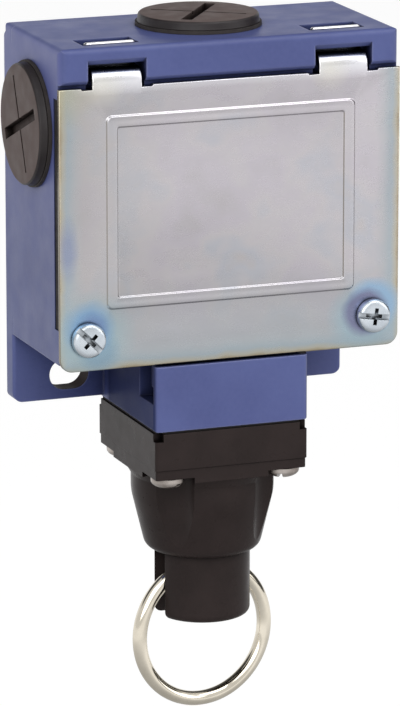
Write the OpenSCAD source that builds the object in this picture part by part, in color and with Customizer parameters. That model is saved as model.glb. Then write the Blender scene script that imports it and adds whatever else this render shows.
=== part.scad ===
// Rope pull switch: a die-cast box on a wall plate, with an operating head below.
// Frame: X to the right, the front faces -Y, Z up. The origin lies on the wall face,
// half way between the two fixing slots.

/* [Body casting] */
// Width of the box and of the wall plate
body_w = 72; // [66:1:84]
// Depth from the wall face to the front of the hinge lip
body_d = 34.5; // [33:0.5:42]
// Height of the box from its underside to its top
box_h = 63.7; // [62:0.1:80]
// Thickness of the side and bottom walls
wall = 3; // [2.4:0.1:4]
// Thickness of the wall plate and of the back of the box
back_t = 4.5; // [3.5:0.1:6]
// Rounding of the long edges
edge_r = 1.2; // [0.6:0.1:2]
// Rounding of the upright corners
corner_r = 1.8; // [1:0.1:2.4]
// Height of the hinge lip above the cover
lip_h = 7.2; // [6.6:0.1:9]

/* [Wall plate] */
// Height of the plate below the underside of the box
plate_drop = 14.4; // [13:0.1:20]
// Height of the fixing slots above the lower edge of the plate
slot_rise = 5.1; // [4.6:0.1:7]
// Distance between the two fixing slots
slot_pitch = 48; // [44:0.5:54]
// Width of a fixing slot
slot_w = 6.4; // [4.3:0.1:6.6]
// Length of a fixing slot
slot_len = 8.4; // [7:0.1:10]

/* [Cover] */
// Thickness of the cover sheet
cover_t = 1.2; // [0.8:0.1:1.5]
// How far the cover stands out past each side of the box
cover_over = 0.2; // [0:0.1:0.6]
// How far the cover hangs below the underside of the box
cover_drop = 1.3; // [0.8:0.1:1.6]
// Gap between the lip and the upper edge of the cover
cover_gap = 0.7; // [0.5:0.1:1]
// Rounding of the cover's lower corners
cover_r = 2.6; // [1:0.1:4]
// Distance between the middles of the two hinge tabs
tab_pitch = 48; // [42:0.5:54]
// Width of a hinge tab
tab_w = 10.4; // [8:0.1:11]
// Width of a window in the lip
window_w = 12.2; // [11.6:0.1:13]
// Border of the framed panel from the side edges of the box
panel_side = 9.4; // [8:0.1:14]
// Border of the framed panel from the lower edge of the cover
panel_low = 12.1; // [11.5:0.1:16]
// Border of the framed panel from the underside of the lip
panel_high = 6.3; // [5:0.1:9]
// Width of the raised frame round the panel
panel_band = 2.7; // [1.5:0.1:4]
// Height of that frame above the sheet
panel_rise = 0.5; // [0.3:0.1:0.9]
// Distance of a cover screw from the side of the box
cover_screw_in = 5.5; // [5.2:0.1:7]
// Height of a cover screw above the underside of the box
cover_screw_up = 5.2; // [4.8:0.1:7]
// Thickness of the sealing gasket
gasket_t = 2.4; // [1.5:0.1:3]
// Width of the sealing gasket
gasket_w = 3; // [2:0.1:4]

/* [Cable entries] */
// Radius of a threaded cable entry, at the thread's crest
entry_r = 9.55; // [8:0.05:10]
// Length of thread in a side entry
entry_len = 9; // [7:0.5:11]
// Distance of the entries from the wall face
entry_in = 17.2; // [16:0.1:18.5]
// Distance of the side entries below the top of the box
entry_down = 17.6; // [16:0.1:20]
// Radius of a blanking plug's head
plug_r = 12.3; // [11.5:0.05:13]
// Thickness of a blanking plug's head
plug_t = 1.8; // [1.2:0.1:3]
// Radius of the washer below the plug's head
plug_washer_r = 12.75; // [12:0.05:13.2]
// Thickness of that washer
plug_washer_t = 0.7; // [0.4:0.1:1.5]
// Width of the plug's driving slot
plug_slot_w = 2.3; // [1.5:0.1:3]

/* [Neck] */
// Width of the neck below the box
neck_w = 33; // [32:0.5:36]
// Height of the neck below the underside of the box
neck_h = 15.1; // [14:0.1:18]
// How far the neck stands out in front of the lip
neck_out = 0.7; // [0.3:0.1:1.2]
// Distance of the head's axis from the wall face
axis_in = 18.1; // [17.8:0.1:18.4]
// Radius of the passage through the neck
passage_r = 10; // [8.6:0.1:10.4]

/* [Operating head] */
// Depth of the head's flange
flange_d = 34.1; // [33:0.1:35]
// Thickness of the flange
flange_t = 9.6; // [8:0.1:12]
// Thickness of the gasket on top of the flange
head_gasket_t = 0.5; // [0.4:0.1:2]
// Distance of a head screw from the two nearest sides of the flange
head_screw_in = 3.9; // [3.5:0.05:4]
// Radius of the bell where it leaves the flange
bell_r = 14.65; // [14:0.05:15.5]
// Height of the bell
bell_h = 19.3; // [18:0.1:26]
// Radius of the bell's lower rim, before its rounding
rim_r = 12.2; // [11.9:0.1:13.5]
// Radius of the bell's rounded rim
rim_round = 2.5; // [1.5:0.1:4]
// Radius of a scoop in the bell round a screw
scoop_r = 5.8; // [4.5:0.1:6.2]
// Radius of the guard below the bell
guard_r = 9.8; // [9.3:0.1:10.5]
// Height of the guard
guard_h = 14.1; // [12:0.1:16]
// Radius of the guard's bore
guard_bore_r = 6.6; // [6.3:0.1:7]
// Width of the slot across the guard
guard_slot_w = 6.2; // [6:0.1:7]

/* [Pull rod] */
// Radius of the pull rod
rod_r = 4; // [3.6:0.05:4.4]
// Travel of the pull rod
travel = 5; // [3:0.5:5]
// Radius of the swivel eye's stem
stem_r = 2; // [1.6:0.1:2.4]
// Radius of the spring chamber
chamber_r = 8.5; // [8:0.1:9.2]
// Wire diameter of the return spring
return_wire = 1.6; // [1:0.1:1.8]

/* [Ring] */
// Outer diameter of the ring
ring_od = 32; // [29:0.5:40]
// Wire diameter of the ring
ring_wire = 3; // [2.5:0.1:3.2]
// Turn of the ring about the head's axis at rest
ring_yaw = 7.5; // [0:0.5:7.5]

/* [Contact block] */
// Width of the contact block
block_w = 32; // [31.5:0.5:34]
// Height of the contact block
block_h = 30.5; // [30:0.5:34]
// Depth of the contact block
block_d = 18; // [17:0.5:19]
// Distance of the block's back from the wall face
block_in = 9; // [8:0.5:9]
// Radius of the contact plunger's stem
plunger_r = 2.55; // [2:0.05:2.8]

/* [Hidden] */
$fn = 72;
eps = 0.01;

// clearances
seat_gap = 0.2;
turn_fit = 0.06;
slide_fit = 0.05;
thread_fit = 0.05;
tap_past = 1.6;
free_fit = 0.15;

// heights of the casting
box_z = plate_drop - slot_rise;
top_z = box_z + box_h;
plate_z = -slot_rise;
plate_r = 2;
lip_z = top_z - lip_h;
half_w = body_w / 2;

// planes of the front, counted from the wall
cover_front = -body_d;
cover_back = cover_front + cover_t;
land_y = cover_back + seat_gap;
rim_y = land_y + gasket_t;
gasket_top = lip_z - 2.9;
gasket_low_rise = 7;
gasket_low = box_z + gasket_low_rise;

// cover screws
screw_x = half_w - cover_screw_in;
screw_z = box_z + cover_screw_up;
cover_shank_r = 1.6;
cover_shank_len = 6;
cover_hole_r = 2.1;
cover_hole_len = 11;
retainer_room = 0.6;
cover_head_r = 3.5;
cover_head_t = 2.6;
screw_boss_r = 5;
left_screw_turn = 45;
right_screw_turn = 8;
retainer_t = 0.5;
retainer_r = 3.4;

// hinge lip, its windows and the tabs
bar_t = 3.7;
bar_z = top_z - 3.4;
pocket_depth = 9.9;
pocket_back = cover_front + pocket_depth;
pocket_z = lip_z - 1.4;
window_z = lip_z - 2.2;
tab_bend = 2.6;
tab_top = bar_z - 0.9;
tab_rise_y = cover_front + bar_t + 0.5;
tab_inner = 0.8;
tab_root = 2;
tab_end = top_z + 0.3;
cover_top = lip_z - cover_gap;
cover_low = box_z - cover_drop;
panel_r = 1;
relief_w = 2.4;
relief_h = 0.4;
lip_chamfer = 0.8;
window_lead = 1;
slot_narrow = 0.2;
bar_chamfer = 0.6;

// cable entries
entry_y = -entry_in;
top_entry_y = entry_y + 1.3;
entry_z = top_z - entry_down;
entry_wall = 3.4;
entry_boss_r = entry_r + entry_wall;
entry_share = 1.95;
share_room = 0.5;
share_y = -back_t - share_room;
plug_len = 8;
plug_slot_depth = 1.1;
plug_mark_w = 0.5;
plug_mark_depth = 0.4;
plug_mark_r = 9.9;
plug_slot_r = 9.7;
plug_edge = 0.4;
plug_wall = 2;
plug_floor = 1;
top_slot_turn = 58;
side_slot_turn = -22;

// neck
neck_front = cover_front - neck_out;
neck_z = box_z - neck_h;
neck_top = cover_low - 0.4;
axis_y = -axis_in;
pocket_front = 1;
neck_pocket_d = 8.2;
neck_pocket_w = 7;
neck_pocket_rise = 5.6;
neck_pocket_z = neck_z + neck_pocket_rise;
rib_w = 2.3;
rib_in = 1.4;
rib_back = 1;
rib_drop = 6.6;
neck_foot_r = 0.6;

// head
flange_top = neck_z - head_gasket_t;
flange_z = flange_top - flange_t;
flange_in = 0.15;
flange_half = neck_w / 2 - flange_in;
flange_front = axis_y - flange_d / 2;
flange_step_h = 2;
flange_step = 0.2;
skirt_h = 1.2;
skirt_in = 0.45;
skirt_low = 3.3;
bell_bend = 5.6;
bell_bend_r = 12;
notch_x = 1.7;
notch_y = 1.45;
notch_h = 2.1;
gasket_inset = 0.4;
gasket_room = 0.5;
flange_r = 0.6;
skirt_r = flange_half - skirt_in;
head_screw_x = flange_half - head_screw_in;
head_screw_y = flange_d / 2 - head_screw_in;
head_shank_r = 2;
head_head_r = 3.4;
head_head_t = 2.5;
head_head_round = 0.7;
head_slot_turn = 69;
head_bite = 4.4;
head_slot_w = 1;
head_slot_depth = 1.4;
rim_z = flange_z - bell_h;
guard_z = rim_z - guard_h;
guard_round = 1.5;
bore_top = rim_z + 1.4;
floor_top = bore_top + 2.8;
bush_r = 6.15;
bush_flange_t = 1;
seal_t = 1.6;
seat_t = 1;
seat_r = chamber_r - 0.2;
seat_room = 0.4;
seal_z = floor_top + bush_flange_t;
seat_z = seal_z + seal_t;
spring_z = seat_z + seat_t;

// pull rod
rod_foot_r = rod_r + 1.6;
rod_foot_t = 1.1;
rod_foot_top = bore_top - 0.2;
rod_z = rod_foot_top - rod_foot_t;
rod_reach = 13.8;
rod_top = neck_z + rod_reach;
rod_bore_r = 3.1;
clip_seat_up = 9.1;
clip_seat_z = rod_z + clip_seat_up;
collar_down = 5.7;
collar_z = flange_top - collar_down;
collar_t = 1.5;
collar_r = chamber_r - 0.5;
clip_t = 0.8;
clip_groove = 0.4;
clip_rim = 1.6;
cap_t = box_z + wall + 0.1 - rod_top;
cap_plug = 4;
return_turns = 5;
return_r = chamber_r - 0.9 - return_wire / 2;
clip_gap = 1.8;
cap_inset = 0.2;

// ring and eye
ring_wire_r = ring_wire / 2;
ring_r = ring_od / 2 - ring_wire_r;
ring_top = rim_z - 2.2;
ring_z = ring_top - ring_od / 2;
eye_t = 4;
eye_half = 4.2;
eye_land = 0.25;
eye_flare = 0.65;
eye_play = 0.5;
eye_rest = 0.25;
eye_hole_r = ring_wire_r + eye_play;
eye_hole_z = ring_top - ring_wire - eye_rest + eye_hole_r;
eye_low = eye_hole_z - eye_hole_r - 2.8;
eye_top = rod_z - 0.2;
eye_clip_r = 2.85;
eye_clip_t = 0.8;
eye_clip_gap = 1.2;
eye_round = 2.6;
eye_disc_t = 0.8;
stem_top = clip_seat_z + 3;

// contact block
block_half = block_w / 2;
block_back = -block_in;
block_front_y = block_back - block_d;
block_z = box_z + wall + 1.7;
block_top = block_z + block_h;
block_wall = 1.5;
shaft_half = 7;
shaft_in = 4.4;
shaft_back = block_back - shaft_in;
ear_out = 3.5;
ear_x = block_half + ear_out;
ear_z = block_z + block_h / 2;
ear_half = 4.5;
ear_t = 3;
ear_boss_r = 3.5;
block_screw_r = 1.4;
block_head_r = 2.75;
block_head_t = 2;
block_washer_t = 0.6;
front_t = 1.8;
plunger_half = 3;
cheek_in = 1.8;
cheek_out = 3.4;
plunger_z = rod_top + cap_t + seat_gap;
stem_h = 8.2;
plunger_body_z = plunger_z + stem_h;
plunger_drop = 5.5;
plunger_top = block_top - block_wall - plunger_drop;
bridge_t = 0.8;
bridge_half = 6.3;
bridge_d = 3.4;
rivet_r = 1.4;
rivet_t = 0.5;
rivet_x = 4.9;
opening_z = plunger_top - 2.1;
bridge_pitch = 9.8;
closing_z = opening_z - bridge_pitch;
opening_win = 4;
closing_win = 5;
upper_arm_z = opening_z + bridge_t + 2 * rivet_t + seat_gap;
lower_arm_z = closing_z - 2 * rivet_t - travel - seat_gap - bridge_t;
arm_in = 3.5;
arm_d = 3.4;
term_in = 4.3;
term_x = block_half - term_in;
term_half_w = 3.4;
term_half_h = 4;
pad_t = 1;
term_floor = axis_y + arm_d / 2 - pad_t;
clamp_t = 1;
clamp_gap = 1.8;
term_screw_r = 1.6;
term_head_r = 2.6;
term_head_t = 1.8;
term_screw_turn = 20;
small_wire = 0.4;
contact_coil_r = 1.3;
plunger_coil_r = 2.2;
arm_room = 0.05;
pad_inset = 0.4;
clamp_inset = 0.3;
washer_rim = 0.5;

// earth terminal
earth_in = 13;
earth_below = 5;
earth_x = -(half_w - wall - earth_in);
earth_z = entry_z - earth_below;
earth_boss_r = 4;
earth_boss_h = 5;
earth_r = 1.7;
earth_head_r = 3.4;
earth_head_t = 2.2;
earth_washer_r = 3.8;
earth_washer_t = 0.8;
earth_screw_turn = 30;

// ---- shared shapes ----

// a box from one corner to the other
module block(a, b) {
    translate(a) cube(b - a);
}

// a rectangle with rounded corners, drawn from one corner to the other
module round_rect(a, b, r) {
    translate([a[0] + r, a[1]]) square([b[0] - a[0] - 2 * r, b[1] - a[1]]);
    translate([a[0], a[1] + r]) square([b[0] - a[0], b[1] - a[1] - 2 * r]);
    for (x = [a[0] + r, b[0] - r], y = [a[1] + r, b[1] - r]) translate([x, y]) circle(r = r);
}

// an outline in X and Z, made into a slab between two depths
module slab(y0, y1) {
    translate([0, y1, 0]) rotate([90, 0, 0]) linear_extrude(y1 - y0) children();
}

// an outline in Y and Z, made into a bar between two widths
module bar(x0, x1) {
    translate([x0, 0, 0]) rotate([90, 0, 90]) linear_extrude(x1 - x0) children();
}

// a round bar along Y between two depths
module pin_y(x, z, y0, y1, r) {
    translate([x, y1, z]) rotate([90, 0, 0]) cylinder(h = y1 - y0, r = r);
}

// a round bar along Z on the head's axis
module axis_pin(z0, z1, r) {
    translate([0, axis_y, z0]) cylinder(h = z1 - z0, r = r);
}

// copies the children to both signs of X
module both_sides() {
    children();
    mirror([1, 0, 0]) children();
}

// copies the children to the four head screws
module at_head_screws() {
    for (sx = [-1, 1], sy = [-1, 1]) translate([sx * head_screw_x, axis_y + sy * head_screw_y, 0]) children();
}

// a coil spring round the Z axis, with its wire's lowest and highest points at z0 and z1
module coil(r, wire, z0, z1, turns, steps, sides) {
    rings = turns * steps;
    rise = (z1 - z0 - wire) / rings;
    points = [for (i = [0:rings], j = [0:sides - 1])
        let (turn = 360 * i / steps, around = 360 * j / sides, out = r + wire / 2 * cos(around))
        [out * cos(turn), out * sin(turn), z0 + wire / 2 + i * rise + wire / 2 * sin(around)]];
    skin = [for (i = [0:rings - 1], j = [0:sides - 1])
        let (k = (j + 1) % sides)
        [i * sides + j, i * sides + k, (i + 1) * sides + k, (i + 1) * sides + j]];
    first = [for (j = [sides - 1:-1:0]) j];
    last = [for (j = [0:sides - 1]) rings * sides + j];
    polyhedron(points = points, faces = concat(skin, [first, last]));
}

// points of an arc round a centre
function arc(cx, cy, r, from, to, n) =
    [for (i = [0:n]) let (a = from + (to - from) * i / n) [cx + r * cos(a), cy + r * sin(a)]];

// ---- body casting ----

// outline of the sealing opening, in X and Z, with room left round the screw bosses
module opening_outline(grow) {
    difference() {
        translate([-half_w + wall - grow, box_z + wall - grow])
            square([body_w - 2 * wall + 2 * grow, gasket_top - box_z - 2 * wall + 2 * grow]);
        for (s = [-1, 1]) translate([s * screw_x, screw_z]) circle(r = screw_boss_r + gasket_w - grow);
    }
}

// outline of the lands that the cover closes on, at the two lower corners
module corner_land_outline(grow) {
    for (s = [-1, 1]) {
        translate([s * screw_x, screw_z]) circle(r = screw_boss_r + grow);
        translate([s * half_w - (s > 0 ? cover_screw_in + grow : 0), box_z - grow])
            square([cover_screw_in + grow, gasket_low - box_z + 2 * grow]);
    }
}

module box_shell() {
    intersection() {
        translate([0, 0, box_z]) linear_extrude(box_h)
            round_rect([-half_w, cover_front], [half_w, 0], corner_r);
        bar(-half_w, half_w) round_rect([cover_front, box_z - 2 * edge_r], [0, top_z], edge_r);
        slab(cover_front, 0) round_rect([-half_w, box_z - 2 * edge_r], [half_w, top_z], edge_r);
    }
}

module neck_block() {
    intersection() {
        translate([0, 0, neck_z]) linear_extrude(neck_h + wall)
            round_rect([-neck_w / 2, neck_front], [neck_w / 2, edge_r], edge_r);
        slab(neck_front, 0) round_rect([-neck_w / 2, neck_z], [neck_w / 2, box_z + 3 * edge_r], neck_foot_r);
        union() {
            block([-neck_w, neck_front, neck_z], [neck_w, 0, neck_top]);
            block([-neck_w, land_y, neck_z], [neck_w, 0, box_z]);
            block([-neck_w, rim_y, neck_z], [neck_w, 0, box_z + wall]);
        }
    }
}

module hinge_window() {
    half_win = window_w / 2;
    block([-half_win, cover_front - eps, window_z], [half_win, cover_front + bar_t, bar_z]);
    block([-half_win, cover_front + bar_t - eps, pocket_z], [half_win, pocket_back, bar_z]);
    half_slot = half_win - slot_narrow;
    bar_back = cover_front + bar_t;
    block([-half_slot, bar_back, bar_z - eps], [half_slot, pocket_back, top_z + eps]);
    bar(-half_win, half_win) polygon([[cover_front - eps, bar_z - eps],
        [cover_front + window_lead, bar_z - eps], [cover_front - eps, bar_z + window_lead]]);
    bar(-half_slot, half_slot) polygon([[bar_back + eps, bar_z - eps],
        [bar_back - bar_chamfer, bar_z - eps], [bar_back + eps, bar_z + bar_chamfer]]);
}

module neck_pocket() {
    block([-neck_w / 2 - eps, neck_front + pocket_front, neck_pocket_z],
        [-neck_w / 2 + neck_pocket_w, neck_front + pocket_front + neck_pocket_d, box_z]);
}

module neck_rib() {
    rib_y = neck_front + pocket_front + rib_in;
    block([-neck_w / 2 + rib_back, rib_y, box_z - rib_drop],
        [-neck_w / 2 + neck_pocket_w + eps, rib_y + rib_w, box_z + eps]);
}

// the whole casting; the four nodes below share it out without a gap or an overlap
module casting() {
    union() {
        difference() {
            union() {
                difference() {
                    box_shell();
                    // the cover and the gasket lie in this step
                    slab(cover_front - eps, land_y) translate([-body_w, box_z - eps])
                        square([2 * body_w, lip_z - box_z + eps]);
                    slab(land_y - eps, rim_y) difference() {
                        translate([-body_w, box_z - eps]) square([2 * body_w, gasket_top - box_z + eps]);
                        corner_land_outline(0);
                    }
                    // inside of the box
                    slab(rim_y - 2 * gasket_t, -back_t) opening_outline(0);
                    // lower front edge of the lip
                    bar(-body_w, body_w) polygon([[cover_front - eps, lip_z - eps],
                        [cover_front + lip_chamfer, lip_z - eps], [cover_front - eps, lip_z + lip_chamfer]]);
                }
                // wall plate
                intersection() {
                    slab(-back_t, 0) round_rect([-half_w, plate_z], [half_w, top_z - edge_r], plate_r);
                    translate([0, 0, plate_z]) linear_extrude(box_h + plate_drop)
                        round_rect([-half_w, -back_t], [half_w, 0], edge_r / 2);
                }
                neck_block();
                // screwed bosses round the side entries
                both_sides() translate([half_w - entry_len, entry_y, entry_z]) rotate([0, 90, 0])
                    cylinder(h = entry_len - wall / 2, r = entry_boss_r);
                // bosses for the contact block and the earth screw
                both_sides() pin_y(ear_x, ear_z, -block_in, -back_t + eps, ear_boss_r);
                pin_y(earth_x, earth_z, -back_t - earth_boss_h, -back_t + eps, earth_boss_r);
            }
            both_sides() translate([tab_pitch / 2, 0, 0]) hinge_window();
            both_sides() neck_pocket();
            // passage for the rod, and the cable entries
            axis_pin(neck_z - eps, box_z + wall + eps, passage_r);
            translate([0, top_entry_y, gasket_top - wall - eps])
                cylinder(h = top_z - gasket_top + wall + 2 * eps, r = entry_r);
            both_sides() translate([half_w - entry_len - eps, entry_y, entry_z]) rotate([0, 90, 0])
                cylinder(h = entry_len + 2 * eps, r = entry_r);
            // fixing slots
            for (s = [-1, 1]) slab(-back_t - eps, eps) translate([s * slot_pitch / 2, 0]) {
                square([slot_len - slot_w, slot_w], center = true);
                for (t = [-1, 1]) translate([t * (slot_len - slot_w) / 2, 0]) circle(r = slot_w / 2);
            }
            // screw holes
            both_sides() pin_y(screw_x, screw_z, land_y - eps, land_y + cover_hole_len, cover_hole_r);
            both_sides() pin_y(screw_x, screw_z, land_y - eps, land_y + retainer_t + free_fit,
                retainer_r + retainer_room);
            both_sides() pin_y(ear_x, ear_z, -block_in - eps, -back_t + tap_past,
                block_screw_r + thread_fit);
            pin_y(earth_x, earth_z, -back_t - earth_boss_h - eps, -back_t + tap_past,
                earth_r + thread_fit);
            at_head_screws() translate([0, 0, neck_z - eps])
                cylinder(h = head_bite + tap_past / 2, r = head_shank_r + thread_fit);
        }
        both_sides() neck_rib();
    }
}

// the space at the back, where the wall plate lies, and that of its bosses
module plate_space() {
    reach = ear_boss_r + share_room;
    earth_reach = earth_boss_r + share_room;
    block([-body_w, share_y, -2 * body_w], [body_w, body_w, 2 * top_z]);
    both_sides() block([ear_x - reach, -block_in - share_room, ear_z - reach],
        [ear_x + reach, -back_t / 2, ear_z + reach]);
    block([earth_x - earth_reach, -back_t - earth_boss_h - share_room, earth_z - earth_reach],
        [earth_x + earth_reach, -back_t / 2, earth_z + earth_reach]);
}

// the space just below the box
module neck_space() {
    block([-body_w, -body_w, -2 * body_w], [body_w, share_y, box_z - share_room]);
}

// the space of one side wall round its cable entry
module entry_space() {
    reach = entry_r + entry_share;
    block([half_w - entry_len, entry_y - reach, entry_z - reach],
        [body_w, entry_y + reach, entry_z + reach]);
}

module body_casting() {
    color("slateblue") difference() {
        casting();
        plate_space();
        neck_space();
        both_sides() entry_space();
    }
}

module wall_plate() {
    color("slateblue") intersection() {
        casting();
        plate_space();
    }
}

module neck_casting() {
    color("slateblue") intersection() {
        casting();
        neck_space();
    }
}

module side_entries() {
    color("slateblue") intersection() {
        casting();
        both_sides() entry_space();
    }
}

// ---- cover ----

module cover_gasket() {
    color("dimgray") slab(land_y, rim_y) difference() {
        translate([-half_w + cover_over, box_z])
            square([body_w - 2 * cover_over, gasket_top - box_z]);
        opening_outline(0);
        corner_land_outline(free_fit);
    }
}

// side view of a hinge tab: up from the sheet, back under the bar and up behind it
function tab_outline() =
    let (bend_z = tab_top - tab_bend, hook_y = tab_rise_y - tab_inner, hook_z = tab_top + tab_inner)
    concat([[cover_front, cover_top - tab_root]],
        arc(cover_front + tab_bend, bend_z, tab_bend, 180, 90, 10),
        arc(hook_y, hook_z, tab_inner, -90, 0, 6),
        [[tab_rise_y, tab_end], [tab_rise_y + cover_t, tab_end]],
        arc(hook_y, hook_z, tab_inner + cover_t, 0, -90, 8),
        arc(cover_front + tab_bend, bend_z, tab_bend - cover_t, 90, 180, 8),
        [[cover_back, cover_top - tab_root]]);

module panel_outline(inset, r) {
    round_rect([-half_w + panel_side + inset, cover_low + panel_low + inset],
        [half_w - panel_side - inset, lip_z - panel_high - inset], r);
}

// the raised frame round the panel; the inset narrows it from both sides
module frame_outline(inset) {
    difference() {
        panel_outline(inset, panel_r);
        panel_outline(panel_band - inset, panel_r / 2);
    }
}

module cover_outline() {
    difference() {
        union() {
            round_rect([-half_w - cover_over, cover_low], [half_w + cover_over, cover_top], cover_r);
            translate([-half_w - cover_over, cover_top - 2 * cover_r])
                square([body_w + 2 * cover_over, 2 * cover_r]);
        }
        for (s = [-1, 1], t = [-1, 1])
            translate([s * tab_pitch / 2 + t * (tab_w + relief_w) / 2, cover_top - relief_h / 2])
                square([relief_w, relief_h + eps], center = true);
    }
}

module cover_plate() {
    color("silver") difference() {
        union() {
            slab(cover_front, cover_back) cover_outline();
            slab(cover_front - panel_rise, cover_front + eps) frame_outline(0);
            for (s = [-1, 1])
                bar(s * tab_pitch / 2 - tab_w / 2, s * tab_pitch / 2 + tab_w / 2) polygon(tab_outline());
        }
        slab(cover_back - panel_rise, cover_back + eps) frame_outline(cover_t / 4);
        both_sides() pin_y(screw_x, screw_z, cover_front - eps, cover_back + eps,
            cover_shank_r + 2 * free_fit);
    }
}

// a slotted head with a cross recess, facing -Y, its seat at depth y
module slotted_head(r, t, y, turn) {
    straight = t * 0.7;
    slot_half = r * 0.15;
    slot_floor = y - t * 0.6;
    cross_floor = y - t * 0.45;
    difference() {
        union() {
            rotate([90, 0, 0]) translate([0, 0, -y]) cylinder(h = straight, r = r);
            rotate([90, 0, 0]) translate([0, 0, -y + straight - eps])
                cylinder(h = t - straight + eps, r1 = r, r2 = r * 0.8);
        }
        rotate([0, turn, 0]) {
            block([-r - eps, y - t - eps, -slot_half], [r + eps, slot_floor, slot_half]);
            block([-slot_half, y - t - eps, -r / 2], [slot_half, cross_floor, r / 2]);
        }
    }
}

module cover_screws() {
    color("lightgray") for (s = [-1, 1]) translate([s * screw_x, 0, screw_z]) {
        slotted_head(cover_head_r, cover_head_t, cover_front, s < 0 ? left_screw_turn : right_screw_turn);
        pin_y(0, 0, cover_front - eps, cover_back + cover_shank_len, cover_shank_r);
    }
}

module screw_retainers() {
    color("whitesmoke") both_sides() difference() {
        pin_y(screw_x, screw_z, cover_back, cover_back + retainer_t, retainer_r);
        pin_y(screw_x, screw_z, cover_back - eps, cover_back + retainer_t + eps, cover_shank_r);
    }
}

// ---- blanking plugs, drawn standing on the plane z = 0 and pointing up ----

module plug_shape(turn) {
    difference() {
        union() {
            translate([0, 0, plug_washer_t]) cylinder(h = plug_t - plug_edge, r = plug_r);
            translate([0, 0, plug_washer_t + plug_t - plug_edge - eps])
                cylinder(h = plug_edge + eps, r1 = plug_r, r2 = plug_r - plug_edge);
            translate([0, 0, -plug_len]) cylinder(h = plug_len + plug_washer_t + eps, r = entry_r - free_fit);
        }
        translate([0, 0, -plug_len - eps]) cylinder(h = plug_len - plug_floor, r = entry_r - plug_wall);
        rotate([0, 0, turn]) {
            block([-plug_slot_r, -plug_slot_w / 2, plug_washer_t + plug_t - plug_slot_depth],
                [plug_slot_r, plug_slot_w / 2, plug_washer_t + plug_t + eps]);
            block([-plug_mark_w / 2, -plug_mark_r, plug_washer_t + plug_t - plug_mark_depth],
                [plug_mark_w / 2, plug_mark_r, plug_washer_t + plug_t + eps]);
        }
    }
}

module washer_shape() {
    difference() {
        cylinder(h = plug_washer_t, r = plug_washer_r);
        translate([0, 0, -eps]) cylinder(h = plug_washer_t + 2 * eps, r = entry_r - free_fit);
    }
}

module on_top() {
    translate([0, top_entry_y, top_z]) children();
}

module on_left() {
    translate([-half_w, entry_y, entry_z]) rotate([0, -90, 0]) children();
}

module top_plug() {
    color("dimgray") on_top() plug_shape(top_slot_turn);
}

module side_plug() {
    color("dimgray") on_left() plug_shape(90 + side_slot_turn);
}

module top_plug_washer() {
    color("#3a3634") on_top() washer_shape();
}

module side_plug_washer() {
    color("#3a3634") on_left() washer_shape();
}

// ---- operating head ----

module flange_outline(inset) {
    round_rect([-flange_half + inset, flange_front + inset],
        [flange_half - inset, flange_front + flange_d - inset], flange_r);
}

module corner_notches() {
    for (sx = [-1, 1], sy = [-1, 1])
        translate([sx * flange_half, axis_y + sy * flange_d / 2, neck_z])
            cube([2 * notch_x, 2 * notch_y, 2 * notch_h], center = true);
}

module head_gasket() {
    color("#222222") difference() {
        translate([0, 0, flange_top]) linear_extrude(head_gasket_t) flange_outline(gasket_inset);
        corner_notches();
        axis_pin(flange_top - eps, neck_z + eps, chamber_r + gasket_room);
        at_head_screws() translate([0, 0, flange_top - eps])
            cylinder(h = head_gasket_t + 2 * eps, r = head_shank_r + free_fit);
    }
}

// half section of the bell and the guard, as radius and height
function bell_outline() =
    let (bend_top = flange_z - bell_bend, bend_low = rim_z + rim_round,
        taper = atan((bell_r - rim_r) / (bend_top - bend_low)))
    concat([[0, flange_z + 1], [skirt_r, flange_z + 1], [skirt_r, flange_z - skirt_h],
            [bell_r, flange_z - skirt_low]],
        arc(bell_r - bell_bend_r, bend_top, bell_bend_r, 0, -taper, 5),
        arc(rim_r - rim_round, bend_low, rim_round, -taper, -90, 8),
        [[0, rim_z]]);

function guard_outline() = concat([[0, rim_z + 1], [guard_r, rim_z + 1]],
    arc(guard_r - guard_round, guard_z + guard_round, guard_round, 0, -90, 6), [[0, guard_z]]);

module head_housing() {
    color("#2b2726") difference() {
        union() {
            difference() {
                translate([0, 0, flange_z + flange_step_h])
                    linear_extrude(flange_t - flange_step_h) flange_outline(0);
                corner_notches();
            }
            translate([0, 0, flange_z]) linear_extrude(flange_step_h + eps) flange_outline(flange_step);
            difference() {
                union() {
                    translate([0, axis_y, 0]) rotate_extrude() polygon(bell_outline());
                    translate([0, 0, flange_z - skirt_h]) linear_extrude(skirt_h + eps) flange_outline(flange_step);
                }
                at_head_screws() translate([0, 0, rim_z - eps])
                    cylinder(h = bell_h + eps, r = scoop_r);
            }
            translate([0, axis_y, 0]) rotate_extrude() polygon(guard_outline());
        }
        axis_pin(floor_top, flange_top + eps, chamber_r);
        axis_pin(bore_top - eps, floor_top + eps, bush_r + slide_fit);
        axis_pin(guard_z - eps, bore_top, guard_bore_r);
        block([-guard_r - 1, axis_y - guard_slot_w / 2, guard_z - eps],
            [guard_r + 1, axis_y + guard_slot_w / 2, rim_z]);
        at_head_screws() translate([0, 0, flange_z - eps])
            cylinder(h = flange_t + 2 * eps, r = head_shank_r + free_fit);
    }
}

// the four screws of the head; each stops at its own turn
module head_screws() {
    color("silver") for (sx = [-1, 1], sy = [-1, 1])
        translate([sx * head_screw_x, axis_y + sy * head_screw_y, flange_z]) difference() {
            union() {
                translate([0, 0, -eps]) cylinder(h = flange_t + head_gasket_t + head_bite, r = head_shank_r);
                translate([0, 0, head_head_round - head_head_t])
                    cylinder(h = head_head_t - head_head_round, r = head_head_r);
                translate([0, 0, -head_head_t]) cylinder(h = head_head_round + eps,
                    r1 = head_head_r - head_head_round, r2 = head_head_r);
            }
            rotate([0, 0, head_slot_turn * (2.5 - sx / 2 + sy)]) translate([0, 0, -head_head_t])
                cube([2 * head_head_r + 1, head_slot_w, 2 * head_slot_depth], center = true);
        }
}

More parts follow.
